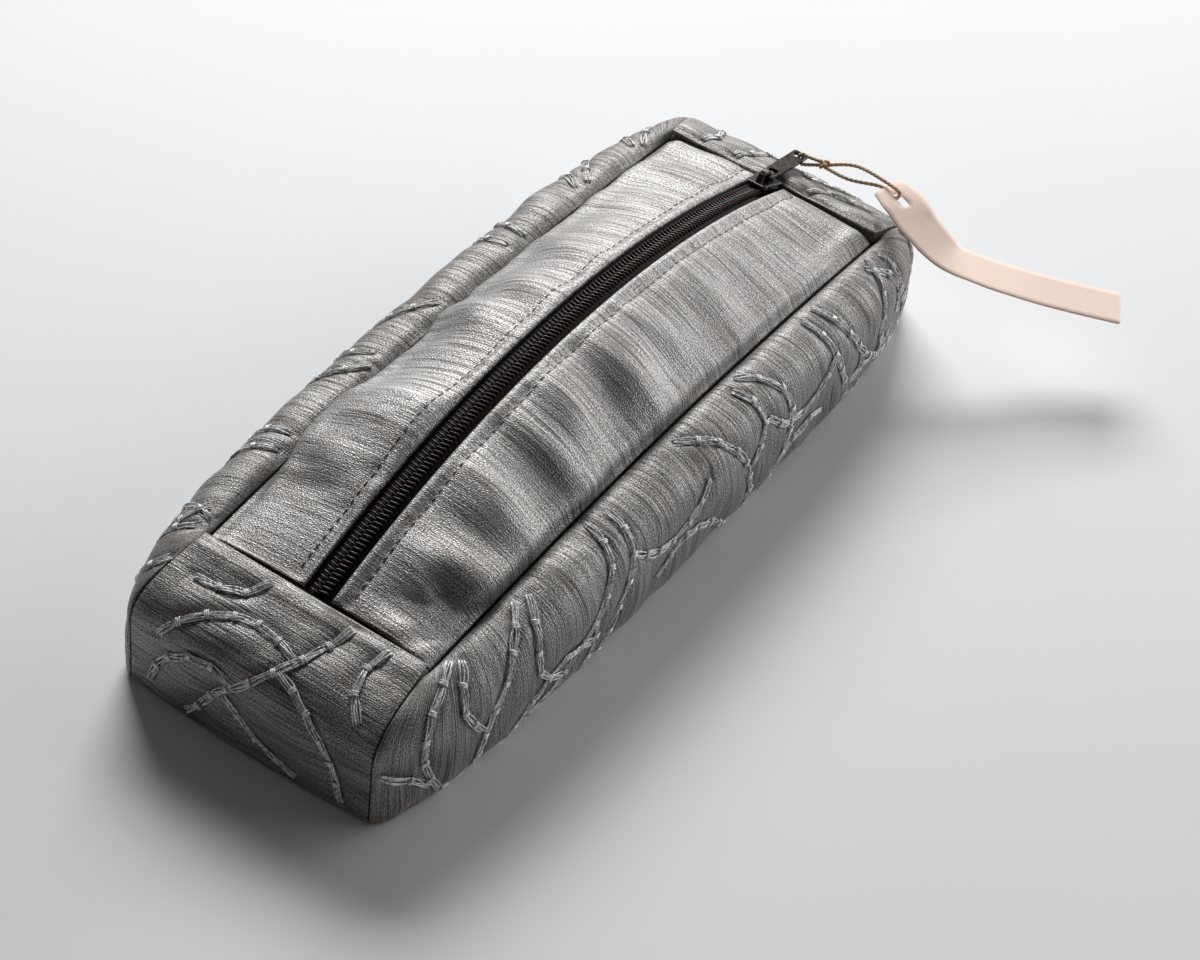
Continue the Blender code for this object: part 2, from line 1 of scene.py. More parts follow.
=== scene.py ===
# %% [markdown]
# # A padded pencil case with a zip and a swing tag
#
# This lesson dresses a solid model of a pencil case in cloth, thread, zip coil and twine. The solid
# model is loaded first and everything is made over it, in the same place and at the same size.

import json
from math import asin, cos, hypot, pi, radians, sin, sqrt

import bmesh
import bpy
import numpy as np
from mathutils import Matrix, Vector
from mathutils.geometry import delaunay_2d_cdt, interpolate_bezier
from mathutils.kdtree import KDTree
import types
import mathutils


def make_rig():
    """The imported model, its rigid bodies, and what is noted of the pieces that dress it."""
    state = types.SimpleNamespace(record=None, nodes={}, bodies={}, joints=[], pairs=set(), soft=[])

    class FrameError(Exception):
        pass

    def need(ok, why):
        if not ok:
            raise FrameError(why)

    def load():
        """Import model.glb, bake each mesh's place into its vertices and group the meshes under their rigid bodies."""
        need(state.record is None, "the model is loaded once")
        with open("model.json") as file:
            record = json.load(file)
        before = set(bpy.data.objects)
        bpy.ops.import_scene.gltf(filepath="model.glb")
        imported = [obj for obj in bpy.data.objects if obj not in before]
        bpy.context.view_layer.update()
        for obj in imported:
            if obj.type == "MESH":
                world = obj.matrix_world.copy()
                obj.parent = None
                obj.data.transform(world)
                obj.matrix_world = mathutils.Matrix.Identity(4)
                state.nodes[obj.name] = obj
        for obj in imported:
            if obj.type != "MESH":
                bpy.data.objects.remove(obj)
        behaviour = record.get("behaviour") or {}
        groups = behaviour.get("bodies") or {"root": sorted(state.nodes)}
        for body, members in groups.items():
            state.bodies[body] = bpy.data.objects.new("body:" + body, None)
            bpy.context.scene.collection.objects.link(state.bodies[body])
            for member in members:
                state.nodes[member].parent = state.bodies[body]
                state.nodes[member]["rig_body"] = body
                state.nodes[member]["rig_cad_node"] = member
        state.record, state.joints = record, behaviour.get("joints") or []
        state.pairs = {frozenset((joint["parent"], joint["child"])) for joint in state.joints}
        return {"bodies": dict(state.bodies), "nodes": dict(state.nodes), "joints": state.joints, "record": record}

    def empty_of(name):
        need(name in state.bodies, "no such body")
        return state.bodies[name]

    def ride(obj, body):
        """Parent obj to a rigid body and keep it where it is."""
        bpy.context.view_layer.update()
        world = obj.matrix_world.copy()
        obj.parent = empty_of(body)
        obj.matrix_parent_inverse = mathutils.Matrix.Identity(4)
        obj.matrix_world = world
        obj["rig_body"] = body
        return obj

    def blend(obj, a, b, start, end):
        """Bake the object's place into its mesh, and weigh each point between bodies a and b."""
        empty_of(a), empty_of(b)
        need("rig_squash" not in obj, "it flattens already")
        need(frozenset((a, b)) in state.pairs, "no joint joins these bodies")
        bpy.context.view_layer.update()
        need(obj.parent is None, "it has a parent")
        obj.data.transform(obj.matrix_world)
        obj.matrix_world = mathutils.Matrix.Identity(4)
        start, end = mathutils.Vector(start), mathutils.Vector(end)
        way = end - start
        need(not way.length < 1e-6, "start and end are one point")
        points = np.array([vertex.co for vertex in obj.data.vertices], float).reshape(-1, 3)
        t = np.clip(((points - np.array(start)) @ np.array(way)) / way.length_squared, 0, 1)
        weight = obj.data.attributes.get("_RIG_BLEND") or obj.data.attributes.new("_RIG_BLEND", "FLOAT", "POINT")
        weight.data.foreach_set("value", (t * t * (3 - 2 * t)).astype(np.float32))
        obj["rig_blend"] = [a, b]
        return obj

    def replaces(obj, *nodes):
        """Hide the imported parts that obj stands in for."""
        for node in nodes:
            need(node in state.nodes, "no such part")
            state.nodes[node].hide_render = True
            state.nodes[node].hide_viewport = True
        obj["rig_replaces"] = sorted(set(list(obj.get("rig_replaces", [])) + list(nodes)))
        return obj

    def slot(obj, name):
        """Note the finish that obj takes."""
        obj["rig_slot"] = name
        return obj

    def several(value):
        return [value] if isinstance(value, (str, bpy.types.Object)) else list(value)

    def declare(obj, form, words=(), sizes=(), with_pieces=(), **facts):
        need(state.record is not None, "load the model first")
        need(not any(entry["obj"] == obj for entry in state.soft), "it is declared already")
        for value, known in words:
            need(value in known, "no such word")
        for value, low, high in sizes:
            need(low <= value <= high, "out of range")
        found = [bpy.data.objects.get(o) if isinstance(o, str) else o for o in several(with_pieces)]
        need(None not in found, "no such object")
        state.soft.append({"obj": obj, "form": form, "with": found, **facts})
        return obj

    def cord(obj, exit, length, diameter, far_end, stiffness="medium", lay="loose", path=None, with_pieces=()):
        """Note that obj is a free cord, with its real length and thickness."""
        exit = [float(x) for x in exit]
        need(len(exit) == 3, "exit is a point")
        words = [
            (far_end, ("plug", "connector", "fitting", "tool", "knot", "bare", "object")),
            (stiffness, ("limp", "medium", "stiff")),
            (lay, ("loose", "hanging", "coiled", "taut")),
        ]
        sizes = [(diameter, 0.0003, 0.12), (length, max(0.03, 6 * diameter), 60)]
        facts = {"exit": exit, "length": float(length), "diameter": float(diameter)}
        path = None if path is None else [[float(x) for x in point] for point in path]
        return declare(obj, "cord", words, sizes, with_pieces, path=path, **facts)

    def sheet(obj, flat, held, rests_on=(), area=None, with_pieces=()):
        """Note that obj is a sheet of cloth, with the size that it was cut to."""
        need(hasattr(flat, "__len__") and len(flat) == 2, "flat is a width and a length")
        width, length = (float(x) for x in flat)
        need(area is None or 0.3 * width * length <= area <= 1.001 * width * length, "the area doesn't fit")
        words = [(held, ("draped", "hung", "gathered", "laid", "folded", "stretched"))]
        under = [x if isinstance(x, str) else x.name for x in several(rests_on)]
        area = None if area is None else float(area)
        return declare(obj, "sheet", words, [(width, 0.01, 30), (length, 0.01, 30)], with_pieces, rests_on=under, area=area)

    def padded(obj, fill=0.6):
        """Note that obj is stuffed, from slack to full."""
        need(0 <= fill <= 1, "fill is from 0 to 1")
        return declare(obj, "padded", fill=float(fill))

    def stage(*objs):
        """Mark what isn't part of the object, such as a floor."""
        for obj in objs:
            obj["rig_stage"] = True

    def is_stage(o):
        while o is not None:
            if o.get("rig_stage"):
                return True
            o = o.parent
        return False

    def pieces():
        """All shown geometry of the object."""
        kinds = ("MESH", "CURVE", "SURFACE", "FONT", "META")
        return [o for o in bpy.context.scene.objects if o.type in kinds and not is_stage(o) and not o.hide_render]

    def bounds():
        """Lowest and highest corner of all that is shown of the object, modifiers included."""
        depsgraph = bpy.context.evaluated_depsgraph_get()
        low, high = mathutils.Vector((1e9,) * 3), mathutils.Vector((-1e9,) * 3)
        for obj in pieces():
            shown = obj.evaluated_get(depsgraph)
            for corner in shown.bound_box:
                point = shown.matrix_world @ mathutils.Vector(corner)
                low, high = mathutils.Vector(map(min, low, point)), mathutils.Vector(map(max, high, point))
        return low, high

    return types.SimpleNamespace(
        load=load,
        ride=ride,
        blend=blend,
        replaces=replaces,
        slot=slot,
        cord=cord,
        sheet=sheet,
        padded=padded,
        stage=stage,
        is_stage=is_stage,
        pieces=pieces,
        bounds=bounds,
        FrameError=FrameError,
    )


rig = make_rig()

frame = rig.load()
solid_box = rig.bounds()
MM = 0.001
SIDES = ((-1, "left"), (1, "right"))
ENDS = ((-1, "near"), (1, "far"))
print("solid model", [round(v / MM, 1) for corner in solid_box for v in corner])

# %% [markdown]
# ## The camera
#
# A camera could be placed by eye, but a few numbers say it better: the point it looks at, the
# direction that it looks from, its distance and its roll. A long lens from three quarters of a metre
# away gives the calm perspective of a product photograph.

# %% Camera
CAMERA_TARGET = Vector((0.0224, -0.0104, 0.0200))
CAMERA_AZIMUTH, CAMERA_ELEVATION, CAMERA_ROLL = radians(29.62), radians(44.71), radians(7.31)
CAMERA_DISTANCE = 0.761


def put(name, data):
    """A new object in the scene, from a mesh, a camera or a lamp."""
    made = bpy.data.objects.new(name, data)
    bpy.context.scene.collection.objects.link(made)
    return made


# Azimuth 0 is straight in front of the case, on the -Y side.
level = cos(CAMERA_ELEVATION)
towards = Vector((sin(CAMERA_AZIMUTH) * level, -cos(CAMERA_AZIMUTH) * level, sin(CAMERA_ELEVATION)))
level_right = (-towards).cross(Vector((0, 0, 1))).normalized()
level_up = level_right.cross(-towards)
right = cos(CAMERA_ROLL) * level_right + sin(CAMERA_ROLL) * level_up
up = cos(CAMERA_ROLL) * level_up - sin(CAMERA_ROLL) * level_right
lens = bpy.data.cameras.new("camera")
lens.lens, lens.sensor_width = 96, 36
camera = put("camera", lens)
turn = Matrix((right, up, towards)).transposed().to_4x4()
camera.matrix_world = Matrix.Translation(CAMERA_TARGET + towards * CAMERA_DISTANCE) @ turn
bpy.context.scene.camera = camera
print("camera at", [round(v, 3) for v in camera.matrix_world.translation])

# %% [markdown]
# ## Colours and nodes
#
# Colours are picked as hex values, as in a paint program. The shader wants linear light, so one
# function converts them. Materials are trees of nodes. One short function adds a node with its
# settings and its links, which keeps each material readable from top to bottom.

# %% Colour and node helpers


def linear(code):
    """An sRGB hex colour as linear red, green, blue and alpha."""
    parts = [int(code[i:i + 2], 16) / 255 for i in (1, 3, 5)]
    return [p / 12.92 if p <= 0.04045 else ((p + 0.055) / 1.055) ** 2.4 for p in parts] + [1.0]


def plug(node, inputs):
    """Sets a node's inputs, by name or by number, to values or to other nodes' sockets."""
    for name, value in inputs.items():
        if isinstance(value, bpy.types.NodeSocket):
            node.id_data.links.new(value, node.inputs[name])
        else:
            node.inputs[name].default_value = value


def add(tree, kind, inputs, **settings):
    """One node with its inputs and its settings."""
    made = tree.nodes.new("ShaderNode" + kind)
    for name, value in settings.items():
        setattr(made, name, value)
    plug(made, inputs)
    return made


def new_material(name, coordinates="UV"):
    """A material with its tree, its Principled surface and the place on the piece."""
    made = bpy.data.materials.new(name)
    made.use_nodes = True
    tree = made.node_tree
    print("material", name)
    return made, tree, tree.nodes["Principled BSDF"], add(tree, "TexCoord", {}).outputs[coordinates]


print("white is", linear("#ffffff"))

# %% [markdown]
# ## Twine
#
# The tag hangs on soft jute twine: two plies of bast fibre twisted together. It is rough, dull and
# hairy, so it has no gloss. The twist is real shape in the mesh, and the nodes only add the fibres
# that run along each ply. Jute fibre is about 0.05 mm thick, too fine to show here, so it is drawn
# as streaks of about 0.2 mm.

# %% Twine material
jute, tree, surface, place = new_material("jute_two_ply_twisted")
along_ply = add(tree, "Mapping", {"Vector": place, "Scale": (0.5, 9.0, 1.0)}).outputs[0]
fibre = add(tree, "TexNoise", {"Vector": along_ply, "Scale": 1.0, "Detail": 3.0}).outputs[0]
tone = add(tree, "Mix", {"Factor": fibre, 6: linear("#a37f60"), 7: linear("#efd4b2")}, data_type="RGBA")
relief = add(tree, "Bump", {"Height": fibre, "Strength": 0.6, "Distance": 0.0001})
plug(surface, {"Base Color": tone.outputs[2], "Roughness": 0.85, "Sheen Weight": 0.3,
               "Normal": relief.outputs[0]})

# %% [markdown]
# ## Meshes from arrays
#
# Cloth, coil and thread are all made the same way: rows of points worked out with numpy in
# millimetres, joined by four-sided faces. Every face corner also gets a UV in millimetres, so that
# a material can say how many millimetres apart its yarns lie.

# %% Mesh helpers


def make_object(name, points, faces, corner_uv, finish):
    """An object from arrays in millimetres. Doubled points merge and the faces turn outwards."""
    mesh = bpy.data.meshes.new(name)
    mesh.from_pydata((np.asarray(points) * MM).tolist(), [], np.asarray(faces).tolist())
    layer = mesh.uv_layers.new(name="millimetres")
    layer.data.foreach_set("uv", np.asarray(corner_uv, np.float32).ravel())
    shape = bmesh.new()
    shape.from_mesh(mesh)
    bmesh.ops.remove_doubles(shape, verts=shape.verts, dist=1e-7)
    bmesh.ops.dissolve_degenerate(shape, edges=shape.edges, dist=1e-8)
    bmesh.ops.recalc_face_normals(shape, faces=shape.faces)
    shape.to_mesh(mesh)
    shape.free()
    mesh.materials.append(finish)
    mesh.shade_smooth()
    return put(name, mesh)


def unit(vectors):
    return vectors / np.maximum(np.linalg.norm(vectors, axis=-1, keepdims=True), 1e-12)


def length_of(points):
    """Running length along the second-last axis of an array of points."""
    steps = np.linalg.norm(np.diff(points, axis=-2), axis=-1)
    return np.concatenate([np.zeros(steps.shape[:-1] + (1,)), np.cumsum(steps, axis=-1)], -1)


def along_line(at, run, line):
    """Values at distances along a line, between those of its points."""
    return np.stack([np.interp(at, run, line[:, k]) for k in range(3)], -1)


def grid_quads(rows, columns):
    """The four-sided faces of a grid of points."""
    index = np.arange(rows * columns).reshape(rows, columns)
    return np.stack([index[:-1, :-1], index[:-1, 1:], index[1:, 1:], index[1:, :-1]], -1).reshape(-1, 4)


def tube(points, radius, reference, sides, section=1.0):
    """Points, faces and UVs of a tube along a line, closed to a point at both ends."""
    tangent = unit(np.gradient(points, axis=0))
    side = unit(np.cross(tangent, reference))
    other = np.cross(side, tangent)
    angle = np.linspace(0, 2 * pi, sides, endpoint=False)
    reach = radius * section * np.ones((len(points), sides))
    reach[[0, -1]] = 0
    rings = points[:, None] + reach[..., None] * (
        np.cos(angle)[:, None] * side[:, None] + np.sin(angle)[:, None] * other[:, None])
    run = length_of(points)
    i, j = np.meshgrid(np.arange(len(points) - 1), np.arange(sides), indexing="ij")
    corners = ((i, j), (i + 1, j), (i + 1, j + 1), (i, j + 1))
    quads = np.stack([a * sides + b % sides for a, b in corners], -1)
    uv = np.stack([np.stack([run[a], b / sides], -1) for a, b in corners], 2)
    return rings.reshape(-1, 3), quads.reshape(-1, 4), uv.reshape(-1, 4, 2)


def gather(parts):
    """Several point, face and UV arrays as one."""
    points, quads, uv = zip(*parts)
    start = np.cumsum([0] + [len(p) for p in points[:-1]])
    quads = [q + n for q, n in zip(quads, start)]
    return np.concatenate(points), np.concatenate(quads), np.concatenate(uv)


def carried(points, first):
    """Directions across a line that turn with it and never flip."""
    frames = [np.asarray(first, float)]
    for t in unit(np.gradient(points, axis=0)):
        frames.append(unit(frames[-1] - t * frames[-1].dot(t)))
    return np.array(frames[1:])


print("mesh helpers ready")

# %% [markdown]
# ## The route of the twine and the tag
#
# The twine's two loops and the tag hang from the eye of the zip's pull. Their routes are the same
# lines that the solid model was made from, so the cord lies where the solid says: round the eye's
# rim to an overhand knot, and from the knot through the tag's slit and back. Lengths are in mm.

# %% Places on the zip and routes
OPENING_Y = 3.5
HALF_LENGTH, HALF_WIDTH = 95.0, 31.5
SEAM_HEIGHT, SEAM_RISE = 30.0, 5.0
CROWN, ZIP_END_LIFT = 19.0, 1.0
ARC_RADIUS = (HALF_LENGTH ** 2 + CROWN ** 2) / (2 * CROWN)
ARC_CENTRE_Z = SEAM_HEIGHT + ZIP_END_LIFT + CROWN - ARC_RADIUS
SLIDER_STOP = 5.5
SLIDER_ANGLE = asin((HALF_LENGTH - SLIDER_STOP) / ARC_RADIUS)
SLIDER_TURN = Matrix.Rotation(-SLIDER_ANGLE, 3, "X")
PULL_TILT = radians(9.2)
PULL_TURN = Matrix.Rotation(PULL_TILT - SLIDER_ANGLE, 3, "X")
PIVOT_AHEAD, PIVOT_ABOVE = 0.8, 2.5
PIVOT = (Vector((0, OPENING_Y, ARC_CENTRE_Z))
         + SLIDER_TURN @ Vector((0, PIVOT_AHEAD, ARC_RADIUS + PIVOT_ABOVE)))
PULL_LENGTH, PULL_WIDTH, PULL_THICKNESS, PULL_BAR = 19.0, 4.2, 1.0, 0.8
EYE_LENGTH, EYE_WIDTH, EYE_RIM = 2.6, 2.8, 0.7
EYE = PIVOT + PULL_TURN @ Vector((0, PULL_LENGTH - PULL_BAR / 2 - EYE_RIM - EYE_LENGTH / 2, 0))
KNOT = EYE + Vector((8.2, -0.6, 2.2))
KNOT_RADIUS = 1.7
TWINE_DIAMETER = 1.0
TOUCH = 0.3
TAG_ROUTE = [(26.5, -0.2, 4.4), (33.0, -1.9, 3.7), (40.3, -4.4, 1.2), (49.6, -4.8, -2.8),
             (57.5, -0.2, -6.6), (67.5, 6.6, -10.3), (77.7, 12.4, -12.3), (89.5, 18.7, -13.8)]
SLIT_START, SLIT_LENGTH = 3.2, 5.0
POINTS_A_SPAN = 24


def smooth_route(points, step):
    """Points about a step apart on a smooth curve through the given points."""
    knots = [Vector(p) for p in points]
    tangents = [(b - a) / 2 for a, b in zip([knots[0]] + knots, knots[1:] + [knots[-1]])]
    dense = [knots[0]]
    for i, (a, b) in enumerate(zip(knots, knots[1:])):
        handles = a + tangents[i] / 3, b - tangents[i + 1] / 3
        dense += interpolate_bezier(a, *handles, b, POINTS_A_SPAN)[1:]
    dense = np.array([list(p) for p in dense])
    run = length_of(dense)
    return along_line(np.linspace(0, run[-1], max(round(run[-1] / step), 3) + 1), run, dense)


tag_line = smooth_route([EYE + Vector(p) for p in TAG_ROUTE], 0.5)
tag_run = length_of(tag_line)
tag_ahead = unit(np.gradient(tag_line, axis=0))
tag_across = unit(np.cross(tag_ahead, (0, 0, 1)))
slit = int(np.argmin(abs(tag_run - SLIT_START - SLIT_LENGTH / 2)))
slit_place, slit_ahead = Vector(tag_line[slit]), Vector(tag_ahead[slit])
slit_up = Vector(tag_across[slit]).cross(slit_ahead)
print("tag", round(tag_run[-1], 1), "mm long, pull's eye at", [round(v, 1) for v in EYE])

# %% [markdown]
# ## The twine's two loops and the knot
#
# Each loop is a tube whose section is two plies side by side, turning as it goes: that twist is what
# tells twine from wire. The knot is a real overhand knot, the closed line that a mathematician calls
# a trefoil, drawn tight.

# %% Twine loops and knot
TWIST_PITCH, TWINE_SIDES = 2.6, 14
PLY_WAIST, PLY_SWELL = 0.70, 0.34
TURN_DEGREES = (65, 100, 140, 180, 220, 260, 295)
KNOT_TUCK = 0.9
SLIT_LIFT = 1.6
ROUTE_STEP = 0.25


def two_ply(points):
    """A twisted two-ply tube along a route."""
    angle = np.linspace(0, 2 * pi, TWINE_SIDES, endpoint=False)
    turned = angle - 2 * pi * length_of(points)[:, None] / TWIST_PITCH
    plies = PLY_WAIST + PLY_SWELL * np.abs(np.cos(turned))
    return tube(points, TWINE_DIAMETER / 2, carried(points, (0.1, 0.2, 1.0)), TWINE_SIDES, plies)


def from_knot(*direction):
    """Where the twine comes out of the knot."""
    return KNOT + Vector(direction).normalized() * (KNOT_RADIUS + TOUCH - KNOT_TUCK)


rim_x = (PULL_WIDTH + EYE_WIDTH) / 4
turn_radius = hypot(EYE_RIM, PULL_THICKNESS) / 2 + TOUCH + TWINE_DIAMETER / 2
around = [EYE + PULL_TURN @ Vector((rim_x + turn_radius * cos(t), 0, turn_radius * sin(t)))
          for t in map(radians, TURN_DEGREES)]
pull_path = smooth_route([from_knot(-0.95, 0, 0.3)] + around + [from_knot(-0.75, 0, -0.65)],
                         ROUTE_STEP)
pull_twine = make_object("pull_twine_two_ply", *two_ply(pull_path), jute)

edge = slit_place - slit_ahead * (SLIT_START + SLIT_LENGTH / 2 + TWINE_DIAMETER)
slit_end = slit_place - slit_ahead * SLIT_LENGTH / 2
lift = slit_up * SLIT_LIFT
halfway = KNOT.lerp(edge, 0.5)
tag_path = smooth_route([from_knot(0.9, 0.35, 0.1), halfway + Vector((0, 2.2, 0.8)), slit_end + lift,
                         slit_place - slit_ahead * TWINE_DIAMETER, slit_end - lift, edge - lift,
                         halfway + Vector((0, -2.2, -0.6)), from_knot(0.8, -0.5, -0.3)],
                        ROUTE_STEP)
tag_twine = make_object("tag_twine_two_ply", *two_ply(tag_path), jute)
tag_twine_length = float(length_of(tag_path)[-1])

# A trefoil that reaches 3 units from its middle.
t = np.linspace(0, 2 * pi, 120)
trefoil = np.stack([np.sin(t) + 2 * np.sin(2 * t), np.cos(t) - 2 * np.cos(2 * t),
                    -1.6 * np.sin(3 * t)], -1)
knot_line = trefoil * (KNOT_RADIUS - TWINE_DIAMETER / 2) / 3.0 + np.array(KNOT)
twine_knot = make_object("twine_overhand_knot", *two_ply(knot_line), jute)

for piece, node in ((pull_twine, "pull_twine"), (tag_twine, "tag_twine"), (twine_knot, "twine_knot")):
    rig.replaces(piece, node)
    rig.slot(piece, "twine")
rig.ride(pull_twine, "twine")
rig.ride(twine_knot, "twine")
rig.blend(tag_twine, "twine", "tag", (KNOT + Vector((2.5, 0, 0))) * MM, (slit_place - slit_ahead * 3) * MM)
print("loop through the tag is", round(tag_twine_length, 1), "mm of twine")

# %% [markdown]
# ## The swing tag
#
# The tag is a strip of uncoated blush-pink card, die-cut with a slit in its head. A flat outline
# with the slit in it is cut into small faces first, and only then bent along the tag's line: the slit
# keeps its clean rounded ends that way. Uncoated card is matt with a soft mottle from its pulp.

# %% Card material
card, tree, surface, place = new_material("uncoated_blush_card_die_cut")
pulp = add(tree, "TexNoise", {"Vector": place, "Scale": 0.7, "Detail": 4.0}).outputs[0]
grain = add(tree, "TexNoise", {"Vector": place, "Scale": 4.0, "Detail": 2.0}).outputs[0]
tone = add(tree, "Mix", {"Factor": pulp, 6: linear("#fbdccb"), 7: linear("#ffeadd")}, data_type="RGBA")
relief = add(tree, "Bump", {"Height": grain, "Strength": 0.25, "Distance": 0.00005})
plug(surface, {"Base Color": tone.outputs[2], "Roughness": 0.62, "Normal": relief.outputs[0]})

# %% Tag
TAG_HALF_WIDTH, HEAD_HALF_WIDTH, HEAD_LENGTH = 6.0, 4.5, 5.0
CARD_THICKNESS, CORNER_RADIUS, CARD_STEP = 0.5, 1.0, 1.5
SLIT_HALF_WIDTH, SLIT_STEP = 1.1, 1.0
MARGIN = 0.7  # between the inner points and an edge


def rounded(points, radius, steps=5):
    """A closed outline with its corners rounded."""
    made = []
    for corner in zip(points[-1:] + points[:-1], points, points[1:] + points[:1]):
        a, b, c = (np.array(p, float) for p in corner)
        start, stop = b + unit(a - b) * radius, b + unit(c - b) * radius
        made += [tuple((1 - s) ** 2 * start + 2 * s * (1 - s) * b + s * s * stop)
                 for s in np.linspace(0, 1, steps)]
    return made


def finer(outline, step):
    """The same outline with more points on its long edges."""
    made = []
    for a, b in zip(outline, outline[1:] + outline[:1]):
        a, b = np.array(a), np.array(b)
        parts = max(int(np.linalg.norm(b - a) / step), 1)
        made += [tuple(a + (b - a) * k / parts) for k in range(parts)]
    return made


def in_slit(u, v, margin=0.0):
    return (SLIT_START - margin < u < SLIT_START + SLIT_LENGTH + margin
            and abs(v) < SLIT_HALF_WIDTH + margin)


def soften(piece, name, width, segments, angle):
    """A fine bevel on the sharp edges."""
    bevel = piece.modifiers.new(name, "BEVEL")
    bevel.width, bevel.segments = width * MM, segments
    bevel.limit_method, bevel.angle_limit = "ANGLE", radians(angle)


length = float(tag_run[-1])
half_outline = [(0, -HEAD_HALF_WIDTH), (HEAD_LENGTH, -TAG_HALF_WIDTH), (length, -TAG_HALF_WIDTH)]
slit_corners = [(SLIT_START, -SLIT_HALF_WIDTH), (SLIT_START, SLIT_HALF_WIDTH),
                (SLIT_START + SLIT_LENGTH, SLIT_HALF_WIDTH),
                (SLIT_START + SLIT_LENGTH, -SLIT_HALF_WIDTH)]
other_half = [(u, -v) for u, v in half_outline[::-1]]
outline = finer(rounded(half_outline + other_half, CORNER_RADIUS), CARD_STEP)
hole = finer(rounded(slit_corners, CORNER_RADIUS), SLIT_STEP)
widening = TAG_HALF_WIDTH - HEAD_HALF_WIDTH
inside = [(u, v) for u in np.arange(CARD_STEP, length, CARD_STEP) for v in CARD_STEP * np.arange(-3, 4)
          if abs(v) < HEAD_HALF_WIDTH - MARGIN + min(u / HEAD_LENGTH, 1) * widening
          and not in_slit(u, v, MARGIN)]
flat = [Vector(p) for p in outline + hole + inside]
loops = (range(len(outline)), range(len(outline), len(outline) + len(hole)))
edges = [(loop[k - 1], loop[k]) for loop in loops for k in range(len(loop))]
cut, _, faces = delaunay_2d_cdt(flat, edges, [], 0, 1e-6)[:3]
cut = np.array([list(p) for p in cut])
kept = [face for face in faces if not in_slit(*cut[face].mean(axis=0))]
bent = (along_line(cut[:, 0], tag_run, tag_line)
        + unit(along_line(cut[:, 0], tag_run, tag_across)) * cut[:, 1:])
swing_tag = make_object("swing_tag_card", bent, kept, cut[kept], card)
thick = swing_tag.modifiers.new("card", "SOLIDIFY")
thick.thickness, thick.offset = CARD_THICKNESS * MM, 0
soften(swing_tag, "cut edge", 0.08, 1, 60)
swing_tag.data.set_sharp_from_angle(angle=radians(40))
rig.replaces(swing_tag, "swing_tag")
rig.slot(swing_tag, "blush_card")
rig.ride(swing_tag, "tag")
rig.cord(tag_twine, exit=list(tag_path[0] * MM), length=tag_twine_length * MM,
        diameter=TWINE_DIAMETER * MM, far_end="knot", stiffness="limp", lay="hanging",
        path=[list(p * MM) for p in tag_path], with_pieces=[pull_twine, twine_knot])
print("tag has", len(kept), "faces")

# %% [markdown]
# ## The shape of the case
#
# The filled case has four kinds of cloth surface: two top panels that rise to the zip, two sides, two
# ends and a base. Each is a formula: give it a place along and round the case and it gives a point.
# These are the same formulas as in the solid model, so cloth and solid agree everywhere.

# %% Surfaces of the case
CROWN_POWER = 1.8
HALF_GAP = 3.75
GROOVE_DEPTH, GROOVE_WIDTH = 2.0, 2.5
LIP_LIFT, LIP_WIDTH = 1.5, 6.0
SIDE_REACH, NEAR_REACH, FAR_REACH = 15.5, 23.0, 16.0
CORNER_FLARE, END_BOW = 2.5, 1.5
GIRTH_HEIGHT = 18.0
SEAM_PULL = 3.9
SIDE_SQUARENESS, END_SQUARENESS = 2.8, 2.5
SIDE_FOOT, END_FOOT = 0.5, 1.0


def seam_height(y):
    return SEAM_HEIGHT + SEAM_RISE * (1 - (y / HALF_LENGTH) ** 2)


def top_surface(y, x, depth=0.0):
    """The top panels, y from the opening's middle."""
    across = np.clip((np.abs(x) - HALF_GAP) / (HALF_WIDTH - HALF_GAP), 0, 1)
    arc_height = ARC_CENTRE_Z + np.sqrt(ARC_RADIUS ** 2 - y ** 2)
    swell = (arc_height - seam_height(y)) * (1 - across ** CROWN_POWER)
    dip = GROOVE_DEPTH * np.exp(-(1 - across) * HALF_WIDTH / GROOVE_WIDTH)
    return np.stack(np.broadcast_arrays(x, y + OPENING_Y, seam_height(y) + swell - dip - depth), -1)


def section(angle, top, depth, squareness, foot):
    """Share of the reach, and height, round a rounded wall."""
    bulge = np.abs(np.cos(angle)) ** (2 / squareness)
    rise = np.abs(np.sin(angle)) ** (2 / squareness)
    share = np.where(angle >= 0, bulge, foot + (1 - foot) * bulge)
    height = np.where(angle >= 0, GIRTH_HEIGHT + (top - GIRTH_HEIGHT) * rise,
                      GIRTH_HEIGHT - (GIRTH_HEIGHT - depth) * rise)
    return share, height


def side_surface(along, angle, side, depth=0.0):
    """A side wall: along runs from -1 to 1, angle from a quarter turn up to a quarter turn down."""
    full = np.where(along < 0, NEAR_REACH, FAR_REACH)
    reach = full - depth
    flare = CORNER_FLARE * reach / full
    corner = HALF_LENGTH + reach
    pull = np.minimum(SEAM_PULL, corner / reach - 1)
    outer_y = corner * along
    inner_y = outer_y * (1 - reach / corner * np.abs(along) ** pull)
    belly = np.maximum(1 - np.abs(along) ** 4, 0) ** (2 / 3)
    outer_x = flare + (SIDE_REACH - depth - flare) * belly
    turn = np.abs(along) ** 3
    squareness = SIDE_SQUARENESS + (END_SQUARENESS - SIDE_SQUARENESS) * turn
    foot = SIDE_FOOT + (END_FOOT - SIDE_FOOT) * turn
    share, z = section(angle, seam_height(inner_y) - depth, depth, squareness, foot)
    run = share * np.hypot(outer_x, outer_y - inner_y)
    z = z - np.where(angle > 0, GROOVE_DEPTH * np.exp(-run / GROOVE_WIDTH), 0)
    x = side * (HALF_WIDTH + share * outer_x + TOUCH)
    return np.stack([x, inner_y + share * (outer_y - inner_y) + OPENING_Y, z], -1)


